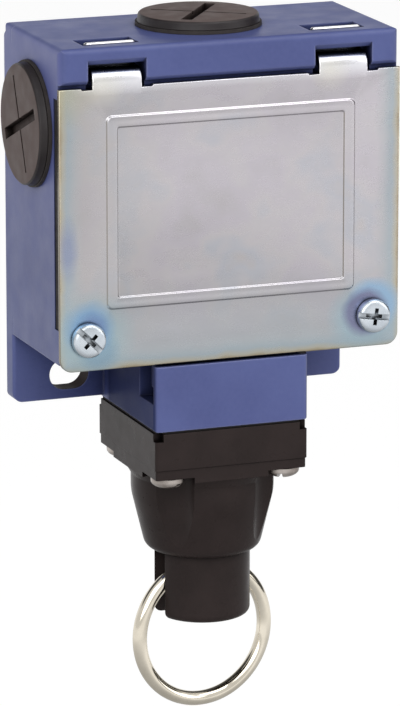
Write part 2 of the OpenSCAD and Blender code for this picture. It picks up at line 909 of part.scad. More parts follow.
module guide_bush() {
    color("goldenrod") difference() {
        union() {
            axis_pin(bore_top, floor_top + eps, bush_r);
            axis_pin(floor_top, seal_z, seat_r);
        }
        axis_pin(bore_top - eps, seal_z + eps, rod_r + turn_fit);
    }
}

module rod_seal() {
    color("#222222") difference() {
        axis_pin(seal_z, seat_z, seat_r);
        axis_pin(seal_z - eps, seat_z + eps, rod_r + slide_fit);
    }
}

module spring_seat() {
    color("silver") difference() {
        axis_pin(seat_z, spring_z, seat_r);
        axis_pin(seat_z - eps, spring_z + eps, rod_r + seat_room);
    }
}

module return_spring() {
    color("gray") translate([0, axis_y, 0])
        coil(return_r, return_wire, spring_z, collar_z, return_turns, 18, 8);
}

// ---- pull rod ----

module spring_collar() {
    color("silver") difference() {
        axis_pin(collar_z, collar_z + collar_t, collar_r);
        axis_pin(collar_z - eps, collar_z + collar_t + eps, rod_r);
    }
}

module collar_clip() {
    color("dimgray") difference() {
        axis_pin(collar_z + collar_t, collar_z + collar_t + clip_t, rod_r + clip_rim);
        axis_pin(collar_z + collar_t - eps, collar_z + collar_t + clip_t + eps, rod_r - clip_groove);
        block([-clip_gap / 2, axis_y - rod_r - 2 * clip_rim, collar_z + collar_t - eps],
            [clip_gap / 2, axis_y, collar_z + collar_t + clip_t + eps]);
    }
}

module pull_rod() {
    color("lightsteelblue") difference() {
        union() {
            axis_pin(rod_z, rod_top, rod_r);
            axis_pin(rod_z, rod_foot_top, rod_foot_r);
        }
        axis_pin(rod_z - eps, clip_seat_z + eps, stem_r + turn_fit);
        axis_pin(clip_seat_z, rod_top + eps, rod_bore_r);
        difference() {
            axis_pin(collar_z + collar_t, collar_z + collar_t + clip_t, rod_r + 1);
            axis_pin(collar_z, collar_z + collar_t + clip_t + 1, rod_r - clip_groove);
        }
    }
}

module push_cap() {
    color("#1d1d1f") {
        axis_pin(rod_top, rod_top + cap_t, rod_r - cap_inset);
        axis_pin(rod_top - cap_plug, rod_top + eps, rod_bore_r);
    }
}

// ---- eye and ring ----

module at_eye() {
    translate([0, axis_y, 0]) rotate([0, 0, ring_yaw]) children();
}

// hole for the ring's wire, along X, flared to both faces
module eye_hole() {
    flare_len = eye_t / 2 - eye_land + 1;
    translate([-eye_t, 0, eye_hole_z]) rotate([0, 90, 0]) cylinder(h = 2 * eye_t, r = eye_hole_r);
    both_sides() translate([eye_land, 0, eye_hole_z]) rotate([0, 90, 0])
        cylinder(h = flare_len, r1 = eye_hole_r, r2 = eye_hole_r + flare_len * eye_flare);
}

module swivel_eye() {
    color("lightsteelblue") at_eye() difference() {
        union() {
            intersection() {
                translate([0, 0, eye_low]) cylinder(h = eye_top - eye_low, r = eye_half);
                bar(-eye_t / 2, eye_t / 2)
                    round_rect([-eye_half, eye_low], [eye_half, eye_top + eye_round], eye_round);
            }
            translate([0, 0, eye_top - eye_disc_t]) cylinder(h = eye_disc_t, r = eye_half);
            translate([0, 0, eye_top - eps]) cylinder(h = stem_top - eye_top, r = stem_r);
        }
        difference() {
            translate([0, 0, clip_seat_z]) cylinder(h = eye_clip_t, r = stem_r + 1);
            translate([0, 0, clip_seat_z - eps]) cylinder(h = eye_clip_t + 2 * eps, r = stem_r - clip_groove);
        }
        eye_hole();
    }
}

module eye_clip() {
    color("dimgray") at_eye() translate([0, 0, clip_seat_z]) difference() {
        cylinder(h = eye_clip_t, r = eye_clip_r);
        translate([0, 0, -eps]) cylinder(h = eye_clip_t + 2 * eps, r = stem_r - clip_groove);
        block([-eye_clip_gap / 2, -2 * eye_clip_r, -eps], [eye_clip_gap / 2, 0, eye_clip_t + eps]);
    }
}

module pull_ring() {
    color("gainsboro") at_eye() translate([0, 0, ring_z]) rotate([90, 0, 0])
        rotate_extrude() translate([ring_r, 0]) circle(r = ring_wire_r);
}

// ---- contact block ----

// copies the children to the four terminals, drawn for the one at the right
module at_terminals(z_list) {
    for (z = z_list) both_sides() translate([term_x, 0, z]) children();
}

upper_term_drop = 7;
lower_term_rise = 6;
upper_term_z = block_top - upper_term_drop;
lower_term_z = block_z + lower_term_rise;
term_rows = [upper_term_z, lower_term_z];

module block_housing() {
    color("#3c3f44") difference() {
        union() {
            block([-block_half, block_front_y, block_z], [block_half, block_back, block_top]);
            both_sides() block([block_half - eps, -block_in - ear_t, ear_z - ear_half],
                [ear_x + ear_half, -block_in, ear_z + ear_half]);
        }
        // shaft for the plunger and the bridges
        block([-shaft_half, block_front_y - eps, block_z + block_wall],
            [shaft_half, shaft_back, block_top - block_wall]);
        axis_pin(block_z - eps, block_z + block_wall + eps, plunger_r + turn_fit);
        // terminal chambers, open to the front and the side
        at_terminals(term_rows) block([-term_half_w, block_front_y - eps, -term_half_h],
            [block_half - term_x + eps, term_floor + pad_t, term_half_h]);
        // slits for the contact arms
        for (z = [upper_arm_z, lower_arm_z]) both_sides()
            block([shaft_half - eps, axis_y - arm_d / 2 - arm_room, z - arm_room],
                [term_x, axis_y + arm_d / 2 + arm_room, z + bridge_t + arm_room]);
        // holes for the terminal screws' tips, and for the fixing screws
        at_terminals(term_rows) pin_y(0, 0, term_floor, term_floor + 4 * pad_t, term_screw_r + free_fit);
        both_sides() pin_y(ear_x, ear_z, -block_in - ear_t - eps, -block_in + eps, block_screw_r + free_fit);
    }
}

module block_front() {
    color("#7d2a22") block([-shaft_half + slide_fit, block_front_y, block_z + block_wall + slide_fit],
        [shaft_half - slide_fit, block_front_y + front_t, block_top - block_wall - slide_fit]);
}

module block_screws() {
    color("silver") both_sides() translate([ear_x, 0, ear_z]) {
        slotted_head(block_head_r, block_head_t, -block_in - ear_t - block_washer_t, 0);
        pin_y(0, 0, -block_in - ear_t - block_washer_t - eps, -back_t, block_screw_r);
    }
}

module block_washers() {
    color("gainsboro") both_sides() difference() {
        pin_y(ear_x, ear_z, -block_in - ear_t - block_washer_t, -block_in - ear_t, block_head_r + washer_rim);
        pin_y(ear_x, ear_z, -block_in - ear_t - 2 * block_washer_t, -block_in, block_screw_r);
    }
}

// a fixed contact: a pad under the terminal screw and an arm with a rivet; up is +1 or -1
module fixed_contact(term_z, arm_z, up) {
    difference() {
        union() {
            block([term_x - term_half_w, term_floor, term_z - term_half_h + pad_inset],
                [term_x + term_half_w, term_floor + pad_t, term_z + term_half_h - pad_inset]);
            block([arm_in, axis_y - arm_d / 2, arm_z],
                [term_x - term_half_w + pad_inset / 2, axis_y + arm_d / 2, arm_z + bridge_t]);
            translate([rivet_x, axis_y, up > 0 ? arm_z + bridge_t - eps : arm_z - rivet_t])
                cylinder(h = rivet_t + eps, r = rivet_r);
        }
        pin_y(term_x, term_z, term_floor - pad_t, term_floor + 2 * pad_t, term_screw_r);
    }
}

module upper_contacts() {
    color("peru") both_sides() fixed_contact(upper_term_z, upper_arm_z, -1);
}

module lower_contacts() {
    color("peru") both_sides() fixed_contact(lower_term_z, lower_arm_z, 1);
}

module terminal_clamps() {
    color("silver") at_terminals(term_rows) difference() {
        block([-term_half_w + clamp_inset, term_floor - clamp_gap - clamp_t, -term_half_h + 2 * clamp_inset],
            [term_half_w - clamp_inset, term_floor - clamp_gap, term_half_h - 2 * clamp_inset]);
        pin_y(0, 0, block_front_y, term_floor + pad_t, term_screw_r);
    }
}

module terminal_screws() {
    color("gainsboro") at_terminals(term_rows) {
        slotted_head(term_head_r, term_head_t, term_floor - clamp_gap - clamp_t, term_screw_turn);
        pin_y(0, 0, term_floor - clamp_gap - clamp_t - eps, term_floor + 3 * pad_t, term_screw_r);
    }
}

module contact_plunger() {
    color("ivory") difference() {
        union() {
            axis_pin(plunger_z, plunger_body_z + eps, plunger_r);
            translate([0, axis_y, 0]) block([-plunger_half, -cheek_out, plunger_body_z],
                [plunger_half, cheek_out, plunger_top]);
        }
        translate([0, axis_y, 0]) {
            block([-plunger_half - 1, -cheek_in, opening_z + bridge_t - opening_win],
                [plunger_half + 1, cheek_in, opening_z + bridge_t]);
            block([-plunger_half - 1, -cheek_in, closing_z],
                [plunger_half + 1, cheek_in, closing_z + closing_win]);
        }
    }
}

// a moving bridge with a rivet at each end; up is +1 or -1
module bridge(z, up) {
    translate([0, axis_y, z]) {
        block([-bridge_half, -bridge_d / 2, 0], [bridge_half, bridge_d / 2, bridge_t]);
        both_sides() translate([rivet_x, 0, up > 0 ? bridge_t - eps : -rivet_t])
            cylinder(h = rivet_t + eps, r = rivet_r);
    }
}

module opening_bridge() {
    color("peru") bridge(opening_z, 1);
}

module closing_bridge() {
    color("peru") bridge(closing_z, -1);
}

module opening_spring() {
    color("gray") translate([0, axis_y, 0])
        coil(contact_coil_r, small_wire, opening_z + bridge_t - opening_win, opening_z, 4, 12, 6);
}

module closing_spring() {
    color("gray") translate([0, axis_y, 0])
        coil(contact_coil_r, small_wire, closing_z + bridge_t, closing_z + closing_win, 4, 12, 6);
}

module plunger_spring() {
    color("gray") translate([0, axis_y, 0])
        coil(plunger_coil_r, small_wire, plunger_top, block_top - block_wall, 4, 14, 6);
}

// ---- earth terminal ----

module earth_screw() {
    color("silver") translate([earth_x, 0, earth_z]) {
        slotted_head(earth_head_r, earth_head_t, -back_t - earth_boss_h - earth_washer_t, earth_screw_turn);
        pin_y(0, 0, -back_t - earth_boss_h - earth_washer_t - eps, -back_t, earth_r);
    }
}

module earth_washer() {
    color("gainsboro") difference() {
        pin_y(earth_x, earth_z, -back_t - earth_boss_h - earth_washer_t, -back_t - earth_boss_h,
            earth_washer_r);
        pin_y(earth_x, earth_z, -back_t - earth_boss_h - 2 * earth_washer_t, -back_t, earth_r);
    }
}

body_casting();
wall_plate();
neck_casting();
side_entries();
cover_gasket();
cover_plate();
cover_screws();
screw_retainers();
top_plug();
top_plug_washer();
side_plug();
side_plug_washer();
head_gasket();
head_housing();
head_screws();
guide_bush();
rod_seal();
spring_seat();
return_spring();
spring_collar();
collar_clip();
pull_rod();
push_cap();
swivel_eye();
eye_clip();
pull_ring();
block_housing();
block_front();
block_screws();
block_washers();
contact_plunger();
opening_bridge();
closing_bridge();
opening_spring();
closing_spring();
plunger_spring();
upper_contacts();
lower_contacts();
terminal_clamps();
terminal_screws();
earth_screw();
earth_washer();
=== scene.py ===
import math

import bmesh
import bpy
from mathutils import Matrix, Vector


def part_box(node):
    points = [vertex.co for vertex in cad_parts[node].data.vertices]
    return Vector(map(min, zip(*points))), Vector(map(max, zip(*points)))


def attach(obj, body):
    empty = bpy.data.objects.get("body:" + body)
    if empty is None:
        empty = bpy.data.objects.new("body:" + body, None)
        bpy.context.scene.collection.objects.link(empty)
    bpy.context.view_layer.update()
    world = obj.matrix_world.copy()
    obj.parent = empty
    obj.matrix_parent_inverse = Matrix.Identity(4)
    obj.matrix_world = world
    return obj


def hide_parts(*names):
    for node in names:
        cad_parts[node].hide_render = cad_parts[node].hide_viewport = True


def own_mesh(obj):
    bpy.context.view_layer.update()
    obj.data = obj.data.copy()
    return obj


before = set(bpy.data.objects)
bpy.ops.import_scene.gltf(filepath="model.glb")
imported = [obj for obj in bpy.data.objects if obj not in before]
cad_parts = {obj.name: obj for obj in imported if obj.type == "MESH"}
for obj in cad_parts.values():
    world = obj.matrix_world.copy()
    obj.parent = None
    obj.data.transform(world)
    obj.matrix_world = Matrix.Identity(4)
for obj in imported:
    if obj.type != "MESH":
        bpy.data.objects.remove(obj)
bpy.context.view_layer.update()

# Sizes are in millimetres in the row's frame; every mesh is scaled to metres when it is finished.
MM = 0.001


def box_mm(node):
    """The lowest and the highest corner of a CAD node, in millimetres."""
    low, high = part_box(node)
    return Vector(low) / MM, Vector(high) / MM


# the cover: its size comes from the frame, and the details of the pressing follow it
COVER_LOW, COVER_HIGH = box_mm("cover_plate")
SHEET_T = 1.2
FRAME_RISE = 0.5
SHEET_FRONT = COVER_LOW.y + FRAME_RISE
SHEET_BACK = SHEET_FRONT + SHEET_T
SHEET_HALF = COVER_HIGH.x
SHEET_LOW = COVER_LOW.z
SHEET_TOP = 65.1
SHEET_CORNER = 2.6
TAB_X = 24.0
TAB_HALF = 5.2
TAB_BEND = (-31.9, 66.1, 2.0)
TAB_HOOK = (-31.1, 69.5, 1.4)
RELIEF_W = 2.4
RELIEF_H = 0.4
SHEARED_EDGE = 0.24
SCREW_X = 30.5
SCREW_Z = 14.5
SCREW_HOLE_R = 1.9
FRAME_BAND = 2.7
FRAME_SLOPE_OUT = 0.45
FRAME_SLOPE_IN = 0.34
FRAME_NEAR = 0.3
FRAME_LOW = (-26.6, SHEET_LOW + 12.1)
FRAME_HIGH = (26.6, 59.5)
# the casting: its side walls, with the flat between their own edges, its neck and its fixing slots
WALL_X = 36.0
FLAT_Y, FLAT_Z = -17.2, 41.5
FLAT_HALF_Y, FLAT_HALF_Z = 13.9, 28.0
NECK_TOP = 9.0
NECK_BACK = -6.0
FIXING_SLOT_X = 24.0
FIXING_SLOT_HALF_X, FIXING_SLOT_HALF_Z = 4.4, 3.6
# plugs: the two washers say where they go
TOP_WASHER = box_mm("top_plug_washer")
SIDE_WASHER = box_mm("side_plug_washer")
PLUG_R = 12.3
PLUG_SEAT = 0.7
PLUG_TOP = 2.5
PLUG_FLOOR = -8.0
PLUG_SLOT = 9.7
PLUG_MARK = 9.9
# the ring
RING_LOW, RING_HIGH = box_mm("pull_ring")
RING_WIRE = 1.5
RING_R = (RING_HIGH.z - RING_LOW.z) / 2 - RING_WIRE
RING_YAW = 7.5
# the stage, in metres
FLOOR_Z = -0.19


# ---- materials ----

def display(r, g, b):
    """A display colour, 0 to 255, as the linear colour that a shader takes."""
    def lin(c):
        """One channel."""
        c /= 255
        return c / 12.92 if c <= 0.04045 else ((c + 0.055) / 1.055) ** 2.4
    return (lin(r), lin(g), lin(b), 1.0)


class Shade:
    """A Principled material under construction, with the few nodes that all of them use."""

    def __init__(self, name, metallic=0.0, **sockets):
        """Starts the material; sockets are named with _ for a space."""
        self.mat = bpy.data.materials.new(name)
        self.mat.use_nodes = True
        self.tree = self.mat.node_tree
        self.tree.nodes.clear()
        self.out = self.node("ShaderNodeOutputMaterial")
        self.bsdf = self.node("ShaderNodeBsdfPrincipled")
        self.join(self.bsdf.outputs[0], self.out.inputs[0])
        self.bsdf.inputs["Metallic"].default_value = metallic
        for key, value in sockets.items():
            self.bsdf.inputs[key.replace("_", " ")].default_value = value
        self.at = self.node("ShaderNodeTexCoord").outputs["Object"]

    def node(self, kind, **settings):
        """A new node with its settings."""
        n = self.tree.nodes.new(kind)
        for key, value in settings.items():
            setattr(n, key, value)
        return n

    def join(self, a, b):
        """Links output a to input b."""
        self.tree.links.new(a, b)

    def noise(self, size_mm, detail=3.0, rough=0.5, stretch=(1, 1, 1)):
        """Noise whose features are about size_mm wide, stretched along the axes."""
        scale = self.node("ShaderNodeMapping")
        scale.inputs["Scale"].default_value = [s / (size_mm * MM) for s in stretch]
        self.join(self.at, scale.inputs["Vector"])
        n = self.node("ShaderNodeTexNoise")
        n.inputs["Scale"].default_value = 1.0
        n.inputs["Detail"].default_value = detail
        n.inputs["Roughness"].default_value = rough
        self.join(scale.outputs[0], n.inputs["Vector"])
        return n.outputs["Fac"]

    def remap(self, value, a, b, c, d):
        """The value, carried from the range a to b into the range c to d, and held to it."""
        n = self.node("ShaderNodeMapRange")
        self.join(value, n.inputs["Value"])
        for key, v in zip(("From Min", "From Max", "To Min", "To Max"), (a, b, c, d)):
            n.inputs[key].default_value = v
        return n.outputs[0]

    def mix(self, fac, a, b, blend="MIX"):
        """Colour a, with b over it by the factor."""
        n = self.node("ShaderNodeMix", data_type="RGBA", blend_type=blend)
        self._put(fac, n.inputs[0])
        self._put(a, n.inputs[6])
        self._put(b, n.inputs[7])
        return n.outputs[2]

    def math(self, op, a, b=0.0):
        """One step of arithmetic on sockets or numbers."""
        n = self.node("ShaderNodeMath", operation=op)
        self._put(a, n.inputs[0])
        self._put(b, n.inputs[1])
        return n.outputs[0]

    def _put(self, value, socket):
        """Links a socket or sets a number or colour."""
        if isinstance(value, bpy.types.NodeSocket):
            self.join(value, socket)
        else:
            socket.default_value = value

    def colour(self, value):
        """Sets the base colour."""
        self._put(value, self.bsdf.inputs["Base Color"])

    def roughness(self, value):
        """Sets the roughness."""
        self._put(value, self.bsdf.inputs["Roughness"])

    def split(self, vector):
        """The X, Y and Z of a vector."""
        n = self.node("ShaderNodeSeparateXYZ")
        self.join(vector, n.inputs[0])
        return n.outputs

    def openness(self, reach_mm, closed=0.15, free=0.8):
        """From 0 where other surfaces close in within reach_mm, to 1 in the open."""
        shade = self.node("ShaderNodeAmbientOcclusion", samples=8)
        shade.inputs["Distance"].default_value = reach_mm * MM
        return self.remap(shade.outputs["AO"], closed, free, 0.0, 1.0)

    def shaded(self, colour, level, darkest):
        """The colour, multiplied by a level between darkest and 1."""
        grey = self.node("ShaderNodeCombineColor")
        factor = self.remap(level, 0.0, 1.0, darkest, 1.0)
        for socket in grey.inputs:
            self.join(factor, socket)
        return self.mix(1.0, colour, grey.outputs[0], "MULTIPLY")

    def edge_wear_and_highlight(self, reach_mm):
        """Rises to 1 along edges, where a rounded normal turns away from the face's own."""
        soft = self.node("ShaderNodeBevel", samples=8)
        soft.inputs["Radius"].default_value = reach_mm * MM
        turn = self.node("ShaderNodeVectorMath", operation="DOT_PRODUCT")
        self.join(soft.outputs[0], turn.inputs[0])
        self.join(self.node("ShaderNodeNewGeometry").outputs["Normal"], turn.inputs[1])
        return self.remap(turn.outputs["Value"], 0.96, 0.78, 0.0, 1.0)

    def patch(self, colour, at, centre, inner_mm, outer_mm, tint, wobble_mm=1.2):
        """The colour with a soft round stain on it, in X and Z."""
        stain, strength = tint
        dx = self.math("SUBTRACT", at[0], centre[0] * MM)
        dz = self.math("SUBTRACT", at[2], centre[1] * MM)
        square = self.math("ADD", self.math("MULTIPLY", dx, dx), self.math("MULTIPLY", dz, dz))
        wobble = self.math("MULTIPLY", self.noise(4, 3), wobble_mm * MM)
        reach = self.math("ADD", self.math("SQRT", square), wobble)
        inner, outer = (inner_mm + wobble_mm / 2) * MM, (outer_mm + wobble_mm / 2) * MM
        return self.mix(self.remap(reach, inner, outer, strength, 0.0), colour, display(*stain))

    def dim_gloss(self, level, least, most):
        """Specular response that falls with the level, so that crevices don't mirror the room."""
        self.join(self.remap(level, 0.0, 1.0, least, most), self.bsdf.inputs["Specular IOR Level"])

    def relief(self, height, depth_mm, edge_mm=0.0, rounded=None):
        """Bump from a height of 0 to 1, over edges rounded by edge_mm, where rounded isn't 0."""
        bump = self.node("ShaderNodeBump")
        bump.inputs["Distance"].default_value = depth_mm * MM
        bump.inputs["Strength"].default_value = 1.0
        self.join(height, bump.inputs["Height"])
        if edge_mm:
            bevel = self.node("ShaderNodeBevel", samples=6)
            bevel.inputs["Radius"].default_value = edge_mm * MM
            normal = bevel.outputs[0]
            if rounded is not None:
                blend = self.node("ShaderNodeMix", data_type="VECTOR")
                self.join(rounded, blend.inputs[0])
                self.join(self.node("ShaderNodeNewGeometry").outputs["Normal"], blend.inputs[4])
                self.join(normal, blend.inputs[5])
                normal = blend.outputs[1]
            self.join(normal, bump.inputs["Normal"])
        self.join(bump.outputs[0], self.bsdf.inputs["Normal"])


def paint_material():
    """Satin blue paint over a die casting: cloudiness, orange peel, paler edges (worn, with a painted
    highlight), painted shade in crevices, on the neck's sides and on the bare slot walls, and painted light on
    the left side's top.
    """
    s = Shade("paint_blue")
    tone = s.mix(s.remap(s.noise(14, 4), 0.35, 0.65, 0, 1), display(75, 84, 137), display(83, 93, 147))
    tone = s.mix(s.remap(s.noise(0.9, 2), 0.3, 0.7, 0.0, 0.14), tone, display(98, 107, 158))
    near, wide = s.openness(5.0), s.openness(28.0, 0.2, 0.7)
    at = s.split(s.at)
    facing = s.split(s.node("ShaderNodeTexCoord").outputs["Normal"])
    side = s.remap(s.math("ABSOLUTE", facing[0]), 0.6, 0.9, 0.0, 1.0)
    # no worn, highlighted or rounded edge where two nodes of the one casting lie flush
    from_y = s.math("ABSOLUTE", s.math("SUBTRACT", at[1], FLAT_Y * MM))
    from_z = s.math("ABSOLUTE", s.math("SUBTRACT", at[2], FLAT_Z * MM))
    flat = s.math("MULTIPLY", s.remap(from_y, (FLAT_HALF_Y + 0.4) * MM, FLAT_HALF_Y * MM, 0.0, 1.0),
                  s.remap(from_z, (FLAT_HALF_Z + 1.0) * MM, FLAT_HALF_Z * MM, 0.0, 1.0))
    wall = s.remap(s.math("ABSOLUTE", at[0]), (WALL_X - 0.3) * MM, (WALL_X - 0.1) * MM, 0.0, 1.0)
    edged = s.math("SUBTRACT", 1.0, s.math("MULTIPLY", wall, flat))
    # painted light: the left side is painted paler towards its top; painted shade: the neck's sides are
    # painted darker, for the shadow of the box and cover above them
    pale = s.math("MULTIPLY", s.remap(facing[0], -0.6, -0.9, 0.0, 1.0), s.remap(at[2], 0.026, 0.062, 0.0, 0.9))
    tone = s.mix(pale, tone, display(101, 108, 164))
    # paler edges: paint worn thin, and a painted highlight along them
    wear_and_highlight = s.math("MULTIPLY", s.math("MULTIPLY", s.edge_wear_and_highlight(0.8), edged), 0.7)
    tone = s.mix(wear_and_highlight, tone, display(132, 138, 184))
    # painted shade: the paint is darkened in crevices and recesses, over a near and a far reach
    tone = s.shaded(s.shaded(tone, near, 0.14), wide, 0.3)
    # painted shade on the sides of the neck, below the box and ahead of the back plate
    below = s.remap(at[2], NECK_TOP * MM, (NECK_TOP - 1.5) * MM, 0.0, 1.0)
    before = s.remap(at[1], NECK_BACK * MM, (NECK_BACK - 2.0) * MM, 0.0, 1.0)
    neck = s.math("MULTIPLY", side, s.math("MULTIPLY", below, before))
    tone = s.shaded(tone, s.math("SUBTRACT", 1.0, neck), 0.42)
    # painted shade: the walls of the two fixing slots are painted dark brown, as bare metal in shade
    slot_wall = s.remap(s.math("ABSOLUTE", facing[1]), 0.5, 0.3, 0.0, 1.0)
    slot_x = s.math("ABSOLUTE", s.math("SUBTRACT", s.math("ABSOLUTE", at[0]), FIXING_SLOT_X * MM))
    inside = s.math("MULTIPLY",
                    s.remap(slot_x, (FIXING_SLOT_HALF_X + 0.4) * MM, FIXING_SLOT_HALF_X * MM, 0.0, 1.0),
                    s.remap(s.math("ABSOLUTE", at[2]), (FIXING_SLOT_HALF_Z + 0.4) * MM,
                            FIXING_SLOT_HALF_Z * MM, 0.0, 1.0))
    bare_in_shade = s.math("MULTIPLY", slot_wall, inside)
    s.colour(s.mix(bare_in_shade, tone, display(58, 46, 46)))
    gloss = s.math("MULTIPLY", near, s.math("POWER", wide, 3.0))
    for shade_dulled in (neck, bare_in_shade):
        gloss = s.math("MULTIPLY", gloss, s.math("SUBTRACT", 1.0, shade_dulled))
    s.dim_gloss(gloss, 0.02, 0.42)
    s.roughness(s.remap(s.noise(5, 3), 0.3, 0.7, 0.36, 0.46))
    s.relief(s.math("ADD", s.noise(0.8, 2), s.noise(2.5, 1)), 0.012, 0.5, rounded=edged)
    return s.mat


def film_ramp(s, value, stops):
    """Colours of a passivation film by its thickness."""
    ramp = s.node("ShaderNodeValToRGB")
    s.join(value, ramp.inputs[0])
    elements = ramp.color_ramp.elements
    while len(elements) < len(stops):
        elements.new(0.5)
    for element, (place, rgb) in zip(elements, stops):
        element.position = place
        element.color = display(*rgb)
    return ramp.outputs[0]


def sheet_material():
    """Zinc-plated sheet: grey, with blue films round the screws and golden ones along the edges.

    The places that aren't named are in metres, in X and Z of the frame.
    """
    s = Shade("zinc_sheet", metallic=1.0)
    at = s.split(s.at)
    # the sheet between the edges: lavender, with a painted reflection that is paler towards the upper right,
    # darker on the left and darker and greener at the foot
    cloud = film_ramp(s, s.noise(17, 3, 0.55), [(0.30, (184, 180, 184)), (0.42, (190, 185, 192)),
                                                (0.52, (193, 189, 192)), (0.62, (184, 185, 192)),
                                                (0.72, (190, 185, 185))])
    rise = s.math("ADD", s.math("MULTIPLY", at[0], 0.25), at[2])
    base = s.mix(s.remap(rise, 0.030, 0.065, 0.0, 0.4), cloud, display(206, 201, 207))
    base = s.mix(s.remap(at[0], -0.012, -0.034, 0.0, 0.6), base, display(174, 171, 170))
    base = s.mix(s.remap(at[2], 0.026, 0.012, 0.0, 0.85), base, display(164, 168, 172))
    # painted highlight: the top of the sheet and the foot of each tab are painted near white
    base = s.mix(s.remap(at[2], (SHEET_TOP - 1.5) * MM, (SHEET_TOP + 1.0) * MM, 0.0, 0.85), base,
                 display(238, 238, 243))
    # films that grow thicker towards the sides and the lower edge
    side = s.math("SUBTRACT", SHEET_HALF * MM, s.math("ABSOLUTE", at[0]))
    foot = s.math("SUBTRACT", at[2], SHEET_LOW * MM)
    edge = s.math("ADD", s.math("MINIMUM", side, foot), s.math("MULTIPLY", s.noise(8, 3), 0.0022))
    edge = s.remap(edge, 0.0009, 0.0062, 0.0, 1.0)
    film = film_ramp(s, edge, [(0.0, (128, 112, 84)), (0.07, (168, 154, 120)), (0.15, (182, 178, 160)),
                               (0.34, (164, 177, 184)), (0.75, (176, 182, 186))])
    base = s.mix(s.remap(edge, 0.45, 1.0, 0.75, 0.0), base, film)
    # a straw tint where each tab leaves the sheet, and over the upper left corner
    for x in (-TAB_X - 3.0, TAB_X - 3.0):
        base = s.patch(base, at, (x, SHEET_TOP + 0.6), 0.5, 5.0, ((234, 230, 210), 0.4))
    base = s.patch(base, at, (-SHEET_HALF, SHEET_TOP), 1.0, 9.0, ((190, 186, 160), 0.7))
    # a violet streak half way up the left side
    streak = s.patch(base, (at[0], at[1], s.math("MULTIPLY", at[2], 0.35)), (-34.6, 11.5), 0.6, 2.6,
                     ((138, 146, 178), 0.65))
    # films round the left screw: cyan all round, sky blue above
    base = s.patch(streak, at, (-SCREW_X + 0.6, SCREW_Z + 0.2), 4.6, 10.0, ((160, 180, 186), 0.9))
    base = s.patch(base, at, (-SCREW_X + 2.4, SCREW_Z - 2.6), 2.4, 5.0, ((132, 160, 180), 0.7))
    base = s.patch(base, at, (-SCREW_X + 0.3, SCREW_Z + 2.2), 3.0, 6.0, ((128, 162, 196), 0.9))
    base = s.patch(base, at, (-SCREW_X + 1.2, SCREW_Z + 2.3), 1.5, 3.6, ((112, 130, 170), 0.7))
    # films round the right screw: cyan below, sky blue above, a violet crescent at the upper left
    base = s.patch(base, at, (SCREW_X - 1.6, SCREW_Z - 0.6), 4.6, 8.6, ((158, 178, 188), 0.9))
    base = s.patch(base, at, (SCREW_X + 0.2, SCREW_Z + 2.0), 4.0, 6.2, ((148, 178, 206), 0.9))
    base = s.patch(base, at, (SCREW_X - 1.5, SCREW_Z + 0.7), 3.6, 5.4, ((124, 126, 154), 0.95))
    # the sheared edges, all but the tabs, are dull
    facing = s.split(s.node("ShaderNodeTexCoord").outputs["Normal"])
    sheared = s.math("MULTIPLY", s.remap(s.math("ABSOLUTE", facing[0]), 0.6, 0.9, 0.0, 1.0),
                     s.remap(at[2], (SHEET_TOP + 0.1) * MM, (SHEET_TOP - 0.3) * MM, 0.0, 1.0))
    base = s.mix(sheared, base, display(128, 120, 106))
    # painted shade in the creases, at the foot of the frame and round the screw heads
    base = s.shaded(base, s.openness(0.9, 0.45, 0.85), 0.45)
    # painted reflection: the bend of each tab is painted with the blue of the bar above it
    bend = s.math("MULTIPLY", s.remap(at[2], (SHEET_TOP + 0.5) * MM, (SHEET_TOP + 1.0) * MM, 0.0, 1.0),
                  s.remap(at[2], 0.071, 0.070, 0.0, 1.0))
    bend = s.math("MULTIPLY", bend, s.remap(facing[2], 0.35, 0.85, 0.0, 0.85))
    base = s.mix(bend, base, display(92, 106, 140))
    # painted shade where the tabs run under the bar and into the windows
    s.colour(s.shaded(base, s.openness(4.0, 0.25, 0.6), 0.12))
    s.roughness(s.remap(s.noise(7, 4, 0.6, (1, 1, 2.5)), 0.3, 0.7, 0.24, 0.32))
    s.relief(s.math("ADD", s.noise(0.6, 2), s.noise(3.0, 2)), 0.003)
    return s.mat


def metal_material(name, low, high, rough, grain_mm=0.6, depth_mm=0.003, edge_mm=0.15, stretch=(1, 1, 1),
                   recess=None):
    """A metal whose colour and polish wander between two values, with painted shade in its recesses when
    recess is given.
    """
    s = Shade(name, metallic=1.0)
    tone = s.mix(s.remap(s.noise(4, 3), 0.35, 0.65, 0, 1), display(*low), display(*high))
    if recess:
        # painted shade in the recesses, down to darkest
        reach, darkest = recess
        tone = s.shaded(tone, s.openness(reach, 0.3, 0.85), darkest)
    s.colour(tone)
    s.roughness(s.remap(s.noise(1.5, 3, 0.6, stretch), 0.3, 0.7, rough * 0.8, rough * 1.25))
    s.relief(s.noise(grain_mm, 2, 0.5, stretch), depth_mm, edge_mm)
    return s.mat


def plastic_material(name, low, high, rough, shine=0.5, grain_mm=0.4, depth_mm=0.006, edge_mm=0.25):
    """Moulded plastic: a fine spark-eroded grain and slight flow marks, with painted shade in its crevices."""
    s = Shade(name)
    tone = s.mix(s.remap(s.noise(9, 4, 0.6), 0.35, 0.65, 0, 1), display(*low), display(*high))
    # painted shade in crevices
    near = s.openness(3.0, 0.35, 0.9)
    s.colour(s.shaded(tone, near, 0.1))
    s.dim_gloss(near, 0.1 * shine, shine)
    s.roughness(s.remap(s.noise(3, 3), 0.3, 0.7, rough * 0.85, rough * 1.15))
    s.relief(s.noise(grain_mm, 2), depth_mm, edge_mm)
    return s.mat


def rubber_material(name, low, high):
    """Dull black rubber with a fine grain."""
    s = Shade(name, Specular_IOR_Level=0.35)
    s.colour(s.mix(s.remap(s.noise(2, 4), 0.35, 0.65, 0, 1), display(*low), display(*high)))
    s.roughness(s.remap(s.noise(1.2, 3), 0.3, 0.7, 0.62, 0.78))
    s.relief(s.noise(0.35, 3), 0.01, 0.15)
    return s.mat


# ---- mesh helpers ----

